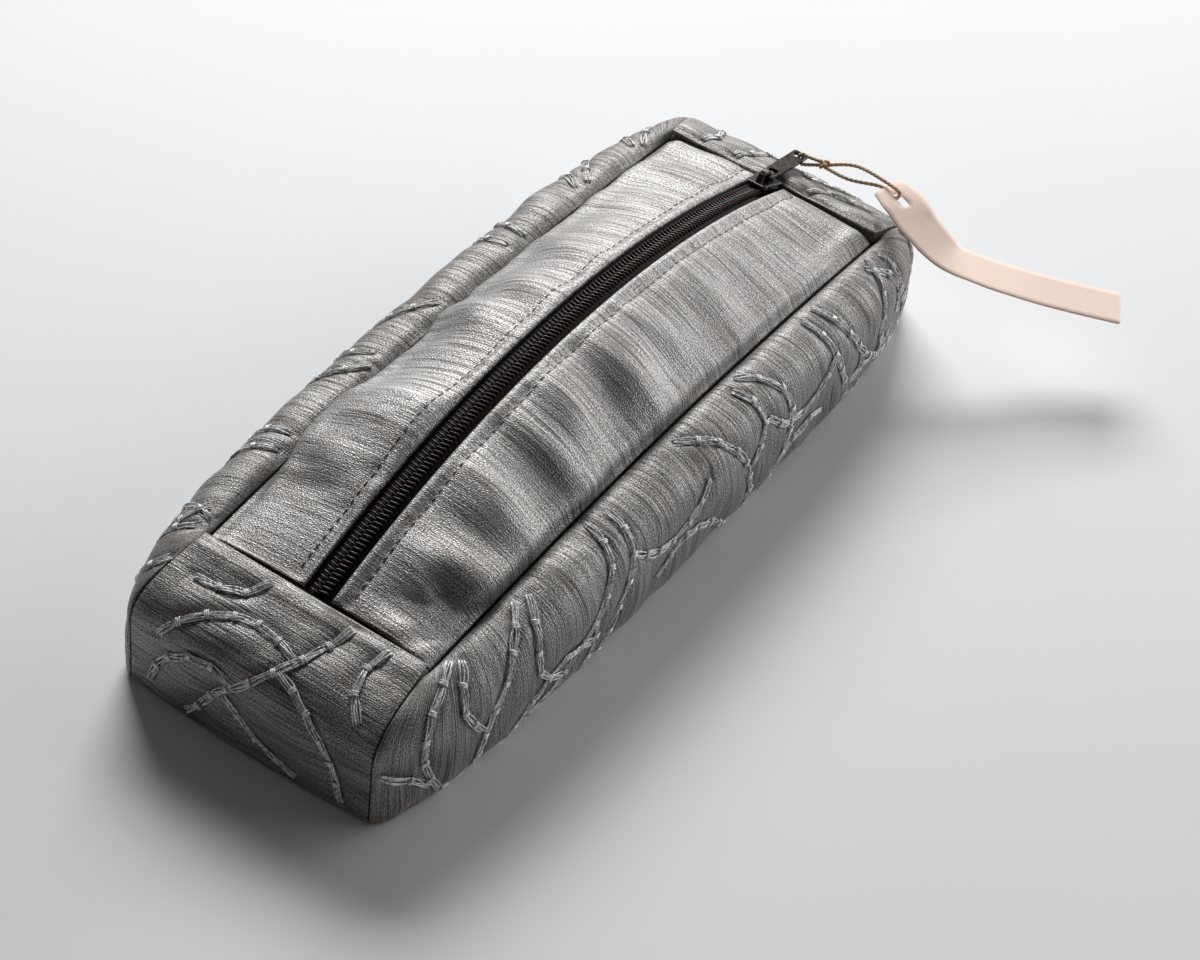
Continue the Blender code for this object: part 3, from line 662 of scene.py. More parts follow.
def end_surface(across, angle, end, depth=0.0):
    """An end wall: across runs from -1 to 1."""
    full = NEAR_REACH if end < 0 else FAR_REACH
    reach = full - depth
    flare = CORNER_FLARE * reach / full
    share, z = section(angle, SEAM_HEIGHT - depth, depth, END_SQUARENESS, END_FOOT)
    z = z + np.where(angle > 0, LIP_LIFT * np.exp(-share * reach / LIP_WIDTH), 0)
    x = across * (HALF_WIDTH + share * flare)
    y = end * (HALF_LENGTH + share * (reach + END_BOW * (1 - across ** 2)))
    return np.stack([x, y + OPENING_Y, z + 0 * x], -1)


def base_surface(along, across, depth=0.0):
    """The flat base, which ends just inside the feet of the walls."""
    mitre = TOUCH * sqrt(2)
    foot = side_surface(along, np.full_like(along, -pi / 2), 1, depth)
    bow = END_BOW * (1 - across ** 2) - mitre
    y = foot[..., 1] + np.sign(along) * np.abs(along) ** 3 * bow
    return np.stack([across * (foot[..., 0] - mitre), y, depth + 0 * y], -1)


print("case is", round(2 * (HALF_WIDTH + SIDE_REACH)), "mm wide")

# %% [markdown]
# ## Sheets of cloth
#
# A woven sheet has two faces and a rounded edge. So each sheet here is two grids of points, an outer
# and an inner one, that curve towards each other at the rim and meet there. The grid lines are evenly
# spaced in real millimetres over the cloth, because wrinkles and yarns need an even grid, with a few
# more lines close to the rim for its roundness. No cloth sinks through the table.

# %% Cloth sheets
FINE, COARSE = 0.8, 2.5
TABLE = -0.05  # the lowest that cloth may go
CALM_RIM = 1.5  # relief fades out this close to a rim


def even_lines(total, step, rim):
    """Distances from 0 to total, about a step apart, and closer together within the rim."""
    edge = rim * np.array([0, 0.12, 0.4, 0.8])
    middle = np.linspace(rim, total - rim, max(int(round((total - 2 * rim) / step)), 2) + 1)
    return np.concatenate([edge, middle, total - edge[::-1]])


class Cloth:
    """An even grid over a surface. s is the distance along it and g the distance down it, in mm."""

    def __init__(self, surface, rows, columns, step, thickness, outwards):
        self.thickness, rim = thickness, thickness / 2
        spine = length_of(surface(rows, np.full_like(rows, (columns[0] + columns[-1]) / 2)))
        s = even_lines(spine[-1], step, rim)
        row = np.interp(s, spine, rows)
        drop = length_of(surface(row[:, None] + 0 * columns, columns + 0 * row[:, None]))
        self.long, self.deep = float(s[-1]), float(drop[:, -1].mean())
        share = even_lines(self.deep, step, rim) / self.deep
        column = np.array([np.interp(share * d[-1], d, columns) for d in drop])
        self.s = np.broadcast_to(s[:, None], column.shape) - s[-1] / 2
        self.g = drop[:, -1:] * share
        self.up = self.g[:, -1:] - self.g
        self.points = surface(row[:, None] + 0 * column, column)
        self.normal = unit(np.cross(np.gradient(self.points, axis=1), np.gradient(self.points, axis=0)))
        if (self.normal * outwards).sum() < 0:
            self.normal = -self.normal
        self.rim_distance = np.minimum(np.minimum(s, s[-1] - s)[:, None], np.minimum(self.g, self.up))
        self.height = np.zeros(self.g.shape)

    def place(self, s, g, above=0.0):
        """Points above the finished cloth at distances s along and g down, and the normals there."""
        rows = np.interp(s, self.s[:, 0], np.arange(len(self.s)))
        r = np.clip(rows.astype(int), 0, len(self.s) - 2)
        f = (rows - r)[:, None]
        here = []
        for grid in (self.points + self.normal * self.height[..., None], self.normal):
            near, far = (np.array([along_line(at, self.g[k], grid[k]) for at, k in zip(g, line)])
                         for line in (r, r + 1))
            here.append(near * (1 - f) + far * f)
        normal = unit(here[1])
        return here[0] + normal * above, normal

    def cut(self, share=1.0):
        """The size and area, in metres, of the flat piece this sheet was cut from."""
        p = self.points
        faces = np.cross(p[1:, 1:] - p[:-1, :-1], p[:-1, 1:] - p[1:, :-1])
        area = float(np.linalg.norm(faces, axis=-1).sum() / 2)
        flat = self.deep * MM, self.long * share * MM
        return {"flat": flat, "area": min(area * share * MM * MM, flat[0] * flat[1])}

    def build(self, name, finish, along_is_v=True):
        """The closed sheet as an object. UVs: u down the cloth and v along it, or the other way."""
        radius = self.thickness / 2
        inside = np.clip(radius - self.rim_distance, 0, radius)
        round_ = radius - np.sqrt(np.maximum(radius ** 2 - inside ** 2, 0))
        calm = np.clip(self.rim_distance / CALM_RIM, 0, 1)
        outer = self.points + self.normal * (self.height * calm - round_)[..., None]
        outer[..., 2] = np.maximum(outer[..., 2], TABLE)
        inner = self.points - self.normal * (self.thickness - round_)[..., None]
        points = np.concatenate([outer.reshape(-1, 3), inner.reshape(-1, 3)])
        quads = grid_quads(*self.g.shape)
        quads = np.concatenate([quads, quads[:, ::-1] + self.g.size])
        uv = np.stack([self.g, self.s] if along_is_v else [self.s, self.g], -1).reshape(-1, 2)
        return make_object(name, points, quads, np.concatenate([uv, uv])[quads], finish)


def hump(distance, width):
    """1 at no distance, and next to nothing at twice the width."""
    return np.exp(-(distance / width) ** 2)


def soft_noise(u, v, seed):
    """Smooth random heights from -1 to 1, with a new value for each whole step of u or v."""
    table = np.random.default_rng(seed).uniform(-1, 1, (64, 64))
    iu, iv = np.floor(u).astype(int), np.floor(v).astype(int)
    fu, fv = u - iu, v - iv
    fu, fv = fu * fu * (3 - 2 * fu), fv * fv * (3 - 2 * fv)
    low, high = (table[iu % 64, k % 64] * (1 - fu) + table[(iu + 1) % 64, k % 64] * fu
                 for k in (iv, iv + 1))
    return low * (1 - fv) + high * fv


print("cloth grid of", FINE, "mm")

# %% [markdown]
# ## Slub shantung
#
# The cloth is shantung, a plain weave of smooth warp with uneven weft: the thick places in the weft,
# the slubs, are the short bright and dark lines across it. Warp and weft are taupe and silver. The
# yarn is flat and smooth and mirrors the window much as brushed metal does, so folds that face the
# window are silver and those that face away are brown. That is why the material is mostly metallic,
# with a middling roughness and a little sheen. Yarns lie 0.3 mm apart; they are drawn 0.5 mm apart so
# that they show. The top panels show the cloth plain. The sides, ends and base carry the embroidery
# and are the same cloth in darker colours: painted shade, for panels that face away from the window.

# %% Shantung materials


def shantung(name, dark, middle, light, patch, rib_share):
    """Plain-weave cloth with uneven weft. In its UVs, u runs along the weft."""
    made, tree, surface, place = new_material(name)
    noise = {}
    for key, scale, detail in (("grain", (2.4, 3.0, 1), 0.0), ("rib", (0.12, 2.8, 2), 0.0),
                               ("bright", (0.045, 2.8, 5), 0.0), ("dark", (0.040, 2.9, 7), 0.0),
                               ("slub", (0.05, 0.9, 9), 0.0), ("broad", (0.03, 0.12, 3), 1.0)):
        spread = add(tree, "Mapping", {"Vector": place, "Scale": scale, "Location": scale}).outputs[0]
        noise[key] = add(tree, "TexNoise", {"Vector": spread, "Scale": 1.0, "Detail": detail,
                                            "Roughness": 0.6}).outputs[0]
    weave = add(tree, "Mix", {"Factor": rib_share, 2: noise["grain"], 3: noise["rib"]}).outputs[0]
    shade = add(tree, "Mix", {"Factor": 0.12, 2: weave, 3: noise["broad"]}).outputs[0]
    ramp = add(tree, "ValToRGB", {"Fac": shade})
    stops = ramp.color_ramp.elements
    for position, colour in ((0.32, dark), (0.40, patch), (0.52, middle), (0.64, light)):
        stops.new(position).color = linear(colour)
    stops.remove(stops[0])
    stops.remove(stops[-1])
    tone, lines = ramp.outputs[0], {}
    for key, low, high, share, colour in (("bright", 0.60, 0.66, 0.40, light),
                                          ("dark", 0.60, 0.64, 0.75, dark),
                                          ("slub", 0.66, 0.70, 0.40, dark)):
        lines[key] = add(tree, "MapRange", {"Value": noise[key], "From Min": low, "From Max": high,
                                            "To Max": share}).outputs[0]
        tone = add(tree, "Mix", {"Factor": lines[key], 6: tone, 7: linear(colour)},
                   data_type="RGBA").outputs[2]
    gloss = add(tree, "MapRange", {"Value": shade, "From Min": 0.3, "From Max": 0.7, "To Min": 0.60,
                                   "To Max": 0.52})
    raised = add(tree, "Math", {0: lines["bright"], 1: lines["dark"]}, operation="SUBTRACT").outputs[0]
    raised = add(tree, "Math", {0: raised, 1: 0.35, 2: weave}, operation="MULTIPLY_ADD").outputs[0]
    relief = add(tree, "Bump", {"Height": raised, "Strength": 0.6, "Distance": 0.00035})
    plug(surface, {"Base Color": tone, "Metallic": 0.85, "Roughness": gloss.outputs[0],
                   "Specular IOR Level": 0.7, "Sheen Weight": 0.25, "Sheen Roughness": 0.35,
                   "Normal": relief.outputs[0]})
    return made


plain_shantung = shantung("slub_shantung_silver_taupe",
                          "#5e544b", "#adabaa", "#d0d0d0", "#938d88", 0.22)
# The embroidery ground is the top's cloth in darker colours: painted shade for walls that face away from the window.
shantung_with_painted_shade = shantung("slub_shantung_embroidery_ground",
                             "#463c34", "#949290", "#bab9b8", "#79736e", 0.30)

# %% [markdown]
# ## The embroidery's layout
#
# Couched work: a bundle of loose silver threads is laid on the cloth and tied down every few
# millimetres. It follows scrolling stems that branch like a climbing plant. The stems are drawn flat,
# in millimetres along the panel and down from its seam, and laid on the cloth afterwards.

# %% Stem layout
RISING = [[(0, 60), (-4, 46), (-2, 30), (6, 15), (18, 4)],
          [(0, 60), (4, 45), (14, 33), (27, 28), (38, 33)],
          [(-3, 50), (-14, 40), (-20, 26), (-18, 12), (-10, 3)],
          [(-17, 36), (-27, 30), (-37, 32)],
          [(-2, 27), (-9, 16), (-6, 5)]]
FALLING = [[(0, 3), (4, 16), (14, 28), (27, 36), (40, 38)],
           [(-6, 4), (-4, 18), (3, 32), (6, 46), (2, 60)],
           [(10, 25), (12, 38), (22, 48), (33, 50)],
           [(-4, 17), (-15, 24), (-27, 24), (-36, 17)],
           [(22, 34), (31, 26), (32, 15), (26, 5)]]
FAN = [[(14, 2), (9, 14), (1, 25), (-9, 35), (-17, 50)],
       [(5, 20), (15, 24), (23, 33), (27, 46)],
       [(7, 16), (-5, 13), (-17, 17), (-26, 27)],
       [(-3, 29), (-14, 27), (-24, 34), (-28, 44)],
       [(-10, 2), (-15, 9), (-27, 11)],
       [(25, 2), (22, 12), (28, 21)],
       [(-6, 33), (3, 41), (15, 46)]]


def placed(strokes, shift, flip, stretch=1):
    return [[(shift + flip * u, stretch * v) for u, v in stroke] for stroke in strokes]


side_stems = (placed(RISING, -84, 1) + placed(FALLING, -36, -1) + placed(RISING, 16, -1)
              + placed(FALLING, 62, 1) + placed(RISING[:1] + RISING[2:], 104, 1))
print(len(side_stems), "stems on a side and", len(FAN), "on an end")

# %% [markdown]
# ## Padded panels
#
# The sides and ends are cloth over wadding. Stitching pulls the cloth down along every stem and the
# wadding lifts it in between, so the distance to the nearest stem says how high the cloth stands.
# Long soft noise adds the folds that run round a stuffed case.

# %% Padded panels: grids, stems and soft folds
CLOTH_THICKNESS = 1.0
STEM_STEP, FEWEST_POINTS = 0.6, 12
STEM_MARGIN, FOOT_MARGIN = 1.5, 2.0
angles = np.radians(np.linspace(90, -90, 361))
lengths = np.linspace(-1, 1, 401)
lengths = np.sign(lengths) * (1 - (1 - np.abs(lengths)) ** 1.6)
widths, base_widths = np.linspace(-1, 1, 201), np.linspace(-1, 1, 81)


def walls(depth, step, thickness):
    """The two sides and then the two ends as cloth, at a depth below the outside."""
    for side, label in SIDES:
        yield "side", label, side, Cloth(lambda t, a: side_surface(t, a, side, depth), lengths, angles,
                                         step, thickness, (side, 0, 0.3))
    for end, label in ENDS:
        yield "end", label, end, Cloth(lambda t, a: end_surface(t, a, end, depth), widths, angles,
                                       step, thickness, (0, end, 0.3))


def stem_points(cloth, stems):
    """Each stem as distances along and down the cloth, with its points and the normals there."""
    lines = []
    for stroke in stems:
        s, g = smooth_route([(u, v, 0) for u, v in stroke], STEM_STEP)[:, :2].T
        inside = abs(s) < cloth.long / 2 - STEM_MARGIN
        if inside.sum() >= FEWEST_POINTS:
            s, g = s[inside], np.clip(g[inside], STEM_MARGIN, cloth.deep - FOOT_MARGIN)
            lines.append((s, g) + cloth.place(s, g))
    return lines


def stem_distance(cloth, lines):
    """How far each grid point is from the nearest stem, in mm."""
    tree = KDTree(sum(len(line[2]) for line in lines))
    for k, p in enumerate(p for line in lines for p in line[2]):
        tree.insert(p, k)
    tree.balance()
    return np.array([tree.find(p)[2] for p in cloth.points.reshape(-1, 3)]).reshape(cloth.g.shape)


def folds(cloth, seed, across, down, height):
    """Soft folds that run round the section."""
    n = soft_noise(cloth.s / across + 40, cloth.g / down + 3 + cloth.s / 60, seed)
    n += 0.5 * soft_noise(cloth.s / (across * 0.45) + 11, cloth.g / (down * 0.5) + 7, seed + 1)
    return height * n


padded = {}
for kind, label, sign, cloth in walls(0.0, FINE, CLOTH_THICKNESS):
    if kind == "side":
        stems = side_stems if sign > 0 else placed(side_stems, 0, -1)
        soft_folds = folds(cloth, 10 + sign, 15.0, 30.0, 0.55)
    else:
        stems = FAN if sign < 0 else placed(FAN, 0, -1, 0.85)
        soft_folds = folds(cloth, 20 + sign, 24.0, 14.0, 0.25)
    lines = stem_points(cloth, stems)
    padded[kind + "_panel_" + label] = (cloth, lines, soft_folds, stem_distance(cloth, lines))
    print(kind, label, "has", len(lines), "stems")

# %% [markdown]
# ## Stuffing the sides and ends
#
# Real puckers come from cloth that is a little too big for its seams, pushed out by the wadding. So
# each side and end is simulated: a coarse copy of its grid is pinned along its seams and stems, made a
# few per cent larger and blown out gently with gravity off. Only the height that each point gained is
# kept. It is capped and laid over the fine grid, so the seams stay where the solid model has them. The
# top panels have long straight folds from the zip, which are made further down.

# %% Cloth simulation
SIM_STEP, SIM_FRAMES = 1.7, 16
SIM_SCALE = 0.01
GROWTH = 0.035
HELD_WIDTH = 2.4


def coarse_copy(name, cloth, held):
    """A coarse mesh of the cloth, pinned where held is 1, that wants to be larger than it is."""
    skip = int(round(SIM_STEP / FINE))
    rows, columns = (np.unique(np.r_[0:n:skip, n - 1]) for n in cloth.g.shape)
    points = cloth.points[np.ix_(rows, columns)]
    mesh = bpy.data.meshes.new(name)
    quads = grid_quads(len(rows), len(columns))
    mesh.from_pydata((points.reshape(-1, 3) * SIM_SCALE).tolist(), [], quads.tolist())
    middle = cloth.normal[rows[len(rows) // 2], columns[len(columns) // 2]]
    face = mesh.polygons[(len(rows) // 2) * (len(columns) - 1) + len(columns) // 2]
    if (np.array(face.normal) * middle).sum() < 0:
        mesh.flip_normals()
    made = put(name, mesh)
    pinned = held[np.ix_(rows, columns)]
    pinned[[0, -1], :] = pinned[:, [0, -1]] = 1
    pins = made.vertex_groups.new(name="held")
    for k, weight in enumerate(pinned.ravel()):
        pins.add([k], float(weight), "REPLACE")
    sim = made.modifiers.new("stuffing", "CLOTH")
    yarn = sim.settings
    yarn.quality, yarn.mass = 5, 0.2
    yarn.tension_stiffness = yarn.compression_stiffness = 12
    yarn.shear_stiffness, yarn.bending_stiffness = 6, 0.5
    yarn.vertex_group_mass = "held"
    yarn.effector_weights.gravity = 0
    yarn.shrink_min = -GROWTH
    yarn.use_pressure, yarn.uniform_pressure_force = True, 1.2
    sim.collision_settings.use_collision = sim.collision_settings.use_self_collision = False
    sim.point_cache.frame_start, sim.point_cache.frame_end = 1, SIM_FRAMES
    return made, rows, columns, points


def risen(cloth, made, rows, columns, points):
    """How far the simulated copy rose above the cloth, laid over the fine grid."""
    shaped = made.evaluated_get(bpy.context.evaluated_depsgraph_get()).data
    after = np.zeros(len(shaped.vertices) * 3)
    shaped.vertices.foreach_get("co", after)
    moved = after.reshape(points.shape) / SIM_SCALE - points
    rise = (moved * cloth.normal[np.ix_(rows, columns)]).sum(axis=-1)
    along = np.array([np.interp(np.arange(cloth.g.shape[1]), columns, line) for line in rise])
    return np.array([np.interp(np.arange(cloth.g.shape[0]), rows, line) for line in along.T]).T


def smoothed(height, times):
    """The same heights with each one drawn towards its neighbours, a few times over."""
    for _ in range(times):
        wide = np.pad(height, 1, mode="edge")
        height = (wide[:-2, 1:-1] + wide[2:, 1:-1] + wide[1:-1, :-2] + wide[1:-1, 2:] + 2 * height) / 6
    return height


copies = {name: coarse_copy("stuffed_" + name, cloth, np.clip(HELD_WIDTH - distance, 0, 1))
          for name, (cloth, _, _, distance) in padded.items()}
for number in range(1, SIM_FRAMES + 1):
    bpy.context.scene.frame_set(number)
rises = {name: risen(padded[name][0], *made) for name, made in copies.items()}
for name, (made, *_) in copies.items():
    print(name, "rose up to", round(float(rises[name].max()), 2), "mm")
    bpy.data.objects.remove(made)
bpy.context.scene.frame_set(1)

# %% Heights of the padded panels
HIGHEST, LOWEST = {"side": 2.4, "end": 1.2}, -0.85
SEAM_ROLL = {"side": 0.35, "end": 0.9}
ROLL_PLACE, ROLL_WIDTH = 3.4, 2.2
STEM_PULL, STEM_WIDTH, FOLD_WIDTH = 0.60, 1.7, 8.0
RISE_SHARE, SMOOTHINGS = 0.85, 14
TUCK, TUCK_ALONG, TUCK_UP, TUCK_FADE = 0.9, 16, 18, 12

for name, (cloth, _, soft_folds, distance) in padded.items():
    kind = name.split("_")[0]
    cloth.height = (soft_folds * (1 - hump(distance, FOLD_WIDTH))
                    - STEM_PULL * hump(distance, STEM_WIDTH)
                    + SEAM_ROLL[kind] * hump(cloth.g - ROLL_PLACE, ROLL_WIDTH))
    cloth.height += RISE_SHARE * smoothed(np.clip(rises[name], -1.0, HIGHEST[kind]), SMOOTHINGS)
    corner = (np.clip((abs(cloth.s) - cloth.long / 2 + TUCK_ALONG) / TUCK_FADE, 0, 1)
              * np.clip((cloth.g - cloth.deep + TUCK_UP) / TUCK_FADE, 0, 1))
    cloth.height += TUCK * corner * soft_noise(cloth.s / 4.5 + 20 + cloth.g / 9, cloth.g / 16 + 3, 61)
    cloth.height = np.clip(cloth.height, LOWEST, HIGHEST[kind])
    print(name, "stands up to", round(float(cloth.height.max()), 2), "mm proud")

# %% Padded panels as objects


def on_case(piece, node, slot):
    """Puts a piece in a solid's place, on the case."""
    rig.replaces(piece, node)
    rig.slot(piece, slot)
    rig.ride(piece, "case")
    return piece


def base_cloth(depth, step, thickness):
    return Cloth(lambda t, w: base_surface(t, w, depth), lengths, base_widths, step, thickness,
                 (0, 0, -1))


panels = {name: cloth.build(name.replace("panel", "panel_cloth"), shantung_with_painted_shade, "side" in name)
          for name, (cloth, *_) in padded.items()}
base = base_cloth(0.0, 2.0, CLOTH_THICKNESS)
base.height -= 0.15
panels["bottom_panel"] = base.build("bottom_panel_cloth", shantung_with_painted_shade)
for node, piece in panels.items():
    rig.padded(on_case(piece, node, "embroidered_cloth"), 0.7)
print(len(panels), "padded panels; a side is", round(padded["side_panel_left"][0].deep), "mm deep")

# %% [markdown]
# ## Silver couching
#
# Each stem is five loose strands of silver thread, a metallised film cut into narrow ribbon and
# twisted. Between two ties they spread apart and bulge; at a tie they are drawn together. So the
# strands are tubes whose distance from the stem's middle swings in step with the ties, and the ties
# are small bands of the same thread. The film is smooth, with a low roughness; the white specks along
# it are painted glints, laid into its colour by the twist pattern.

# %% Silver thread material
silver, tree, surface, place = new_material("silver_metallised_film_thread_twisted")
wound = add(tree, "Mapping", {"Vector": place, "Scale": (1.3, 2.2, 1.0)}).outputs[0]
twist = add(tree, "TexNoise", {"Vector": wound, "Scale": 1.0, "Detail": 1.0}).outputs[0]
# Painted glints: white specks in the thread's colour, set by the twist pattern.
painted_glint = add(tree, "MapRange", {"Value": twist, "From Min": 0.34, "From Max": 0.54}).outputs[0]
tone = add(tree, "Mix", {"Factor": painted_glint, 6: linear("#a9a6a3"), 7: linear("#ffffff")}, data_type="RGBA")
relief = add(tree, "Bump", {"Height": twist, "Strength": 0.8, "Distance": 0.0002})
plug(surface, {"Base Color": tone.outputs[2], "Metallic": 0.1, "Roughness": 0.28,
               "Normal": relief.outputs[0]})

# %% Couched stems
STRANDS = (-0.76, -0.38, 0.0, 0.38, 0.76)
STRAND_RADIUS, THREAD_SIDES = 0.175, 5
STEM_HEIGHT = 0.38
TIE_SPACING, TIE_HALF_WIDTH, TIE_RADIUS = 6.6, 1.15, 0.23
TIE_ARCH, TIE_SUNK = 0.86, 0.25
TIE_BANDS = (-0.40, 0.0, 0.38)


def between_ties(values, at_ties):
    """The same values at the ties, and straight lines in between."""
    return np.interp(np.arange(len(values)), at_ties, values[at_ties])


for name, (cloth, lines, *_) in padded.items():
    parts = []
    for number, (s, g, _, _) in enumerate(lines):
        run = length_of(np.stack([s, g], -1))
        ties = max(round(run[-1] / TIE_SPACING), 2)
        at_ties = np.array([int(np.argmin(abs(run - run[-1] * k / ties))) for k in range(ties + 1)])
        middle, normal = cloth.place(between_ties(s, at_ties), between_ties(g, at_ties), STEM_HEIGHT)
        ahead = unit(np.gradient(middle, axis=0))
        across = unit(np.cross(ahead, normal))
        phase = pi * np.interp(np.arange(len(s)), at_ties, np.arange(ties + 1))
        loose = np.abs(np.sin(phase))
        rng = np.random.default_rng(500 + number)
        for strand in STRANDS:
            sway = rng.uniform(0.12, 0.30) * np.sin(
                phase * rng.choice([0.5, 1.0, 1.5]) + rng.uniform(0, 6))
            offset = strand * (0.85 + 0.2 * loose) + sway
            lift = 0.22 * np.sin(phase * 0.7 + rng.uniform(0, 6)) + loose * rng.uniform(0.05, 0.40)
            line = middle + across * offset[:, None] + normal * lift[:, None]
            parts.append(tube(line, STRAND_RADIUS * rng.uniform(0.8, 1.2), normal, THREAD_SIDES))
        half = np.linspace(-1, 1, 9)
        arch = TIE_ARCH * np.sqrt(np.maximum(1 - half ** 2, 0)) - TIE_SUNK
        for at in at_ties[1:-1]:
            for shift in TIE_BANDS:
                width = TIE_HALF_WIDTH * rng.uniform(0.85, 1.15)
                line = (middle[at] + across[at] * (half * width)[:, None] + normal[at] * arch[:, None]
                        + ahead[at] * (shift + 0.2 * half * rng.uniform(-1, 1))[:, None])
                parts.append(tube(line, TIE_RADIUS, ahead[at], THREAD_SIDES))
    points, quads, uv = gather(parts)
    points[:, 2] = np.maximum(points[:, 2], 2 * TABLE)
    work = make_object("silver_couching_" + name.replace("panel_", ""), points, quads, uv, silver)
    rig.slot(work, "embroidered_cloth")
    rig.ride(work, "case")
    print(work.name, len(work.data.polygons), "faces")

# %% [markdown]
# ## The top panels
#
# Two plain panels are folded under along the zip and topstitched. The stitching draws the cloth in,
# so folds run crosswise from the zip, some soft and some standing high, and the folded edge stands up
# a little over the tape. By its outer seam the cloth puffs, and the right panel has a dimple near the
# front with small folds round it. A simulation of the tops came out almost flat, so their folds are
# worked out. A top panel has to bend when the zip opens: its ends stay with the case while its middle
# lifts. So each is made whole and then parted at mid length, with the same normals along the cut.

# %% Top panels: grid, folds and parting
MIDDLE_Y = OPENING_Y * MM
TOP_LENGTH = HALF_LENGTH - 1.0
FRONT, BACK = -94.0, 84.0
CRESTS, CALM = [1.0, 2.0, 2.9, 3.4], 0.4


def top_grid(side, inner, outer, depth, step, thickness):
    """An even grid over one side of the top, from inner to outer mm off the middle line."""
    return Cloth(lambda y, x: top_surface(y, side * x, depth), np.linspace(-TOP_LENGTH, TOP_LENGTH, 401),
                 np.linspace(inner, outer, 241), step, thickness, (0, 0, 1))


def crosswise_waves(cloth, side):
    """Folds across a top panel, deepest halfway between the zip and the seam, in mm."""
    s, g = cloth.s, cloth.g
    rng = np.random.default_rng(40 + side)
    waves = 0.3 * soft_noise(s / 9 + 5 + g / 30, g / 18 + 1, 33 + side)
    centre = FRONT
    while centre < BACK:
        centre += rng.uniform(11, 23)
        calm = CALM if centre > 25 or (side < 0 and centre < -60) else 1.0
        crest = calm * rng.choice(CRESTS)
        width, slant = rng.uniform(3.6, 4.8) + 0.9 * crest, rng.uniform(-0.35, 0.35)
        peak, reach = rng.uniform(8, 21), rng.uniform(9, 15)
        off = s - centre - slant * (g - peak)
        waves += crest * np.exp(-(off / width) ** 2 - ((g - peak) / reach) ** 2)
    return waves


def in_halves(whole, side, nodes, slot, cloth=None, sewn_to=()):
    """Parts a piece at mid length. Each half bends from the case's end to the lifting middle.
    A sheet of cloth is closed at the cut and declared."""
    def key(vertex):
        return tuple(round(c, 7) for c in vertex.co)
    normals = {key(v): v.normal.copy() for v in whole.data.vertices}
    for end, label in ENDS:
        half = put(whole.name + "_" + label, whole.data.copy())
        half.data.name = half.name
        shape = bmesh.new()
        shape.from_mesh(half.data)
        away = [f for f in shape.faces if (f.calc_center_median().y - MIDDLE_Y) * end < 0]
        bmesh.ops.delete(shape, geom=away, context="FACES")
        if cloth is not None:
            bmesh.ops.holes_fill(shape, edges=[e for e in shape.edges if e.is_boundary], sides=0)
        shape.to_mesh(half.data)
        shape.free()
        half.data.normals_split_custom_set_from_vertices(
            [normals.get(key(v), v.normal) for v in half.data.vertices])
        flap = "flap_left" if side < 0 else "flap_right"
        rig.slot(half, slot)
        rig.blend(half, "case", flap, (0, MIDDLE_Y + end * 0.094, 0), (0, MIDDLE_Y + end * 0.020, 0))
        if cloth is not None:
            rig.sheet(half, held="stretched", rests_on=list(sewn_to), **cloth.cut(0.5))
        if end < 0:
            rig.replaces(half, *nodes)
    bpy.data.objects.remove(whole)


print("a top panel is", 2 * TOP_LENGTH, "mm long")

# %% Top panels as objects
STITCH_LINE, STITCH_PITCH, STITCH_LENGTH, STITCH_RADIUS = 3.9, 2.6, 1.9, 0.17
DIMPLE_S, DIMPLE_G = -84, 23
DEEPEST, TALLEST = -0.8, 3.4

for side, label in SIDES:
    cloth = top_grid(side, HALF_GAP, HALF_WIDTH, 0.0, FINE, CLOTH_THICKNESS)
    s, g = cloth.s, cloth.g
    fade = np.clip(g / 4, 0, 1) * np.clip(cloth.up / 3, 0, 1)
    # Ripples of two lengths, the folds, and the puff beside the outer seam.
    waves = 0.30 * soft_noise(s / 6.5 + 5 + g / 30, g / 18 + 1, 33 + side)
    waves += 0.12 * soft_noise(s / 2.6 + 5, g / 12 + 1, 35 + side)
    waves += crosswise_waves(cloth, side) - 0.5
    waves += 1.1 * hump(cloth.up - 4.5, 3.0)
    if side < 0:
        # One broad billow, and a hollow in front of it.
        waves += 3.2 * hump(s + 50, 15) - 1.6 * hump(s + 86, 14)
    else:
        # The dimple, and five small folds that fan out from it.
        u, v = s - DIMPLE_S, g - DIMPLE_G
        pit = np.exp(-(u / 6.0) ** 2 - (v / 5.0) ** 2)
        waves += np.cos(5 * np.arctan2(v, u)) * hump(np.hypot(u, v), 13) * (1 - pit) - 3.0 * pit
    # The folded edge stands up, the stitching sinks in, and small puckers lie between them.
    pucker = soft_noise(s / 1.6, g / 3 + 1, 37 + side)
    cloth.height += waves * fade
    cloth.height += (0.85 * hump(g, 2.2) - 0.30 * hump(g - STITCH_LINE, 0.9)
                     + 0.16 * pucker * hump(g - 2.2, 2.2))
    cloth.height = np.clip(cloth.height, DEEPEST, TALLEST)
    in_halves(cloth.build("top_panel_cloth_" + label, plain_shantung), side, ["top_panel_" + label],
              "slub_cloth", cloth, ["zip_tape_" + label, "side_panel_" + label])
    parts = []
    for start in np.arange(-TOP_LENGTH + 2, TOP_LENGTH - 1, STITCH_PITCH):
        run = np.linspace(start, start + STITCH_LENGTH, 6)
        middle, normal = cloth.place(run, np.full_like(run, STITCH_LINE), 0.02)
        middle += normal * (0.12 * np.sin(np.linspace(0, pi, 6)))[:, None]
        parts.append(tube(middle, STITCH_RADIUS, normal, THREAD_SIDES))
    in_halves(make_object("topstitch_" + label, *gather(parts), plain_shantung), side, [], "slub_cloth")
    print("top panel", label, "is cut", [round(c / MM) for c in cloth.cut()["flat"]], "mm and has",
          len(parts), "stitches")
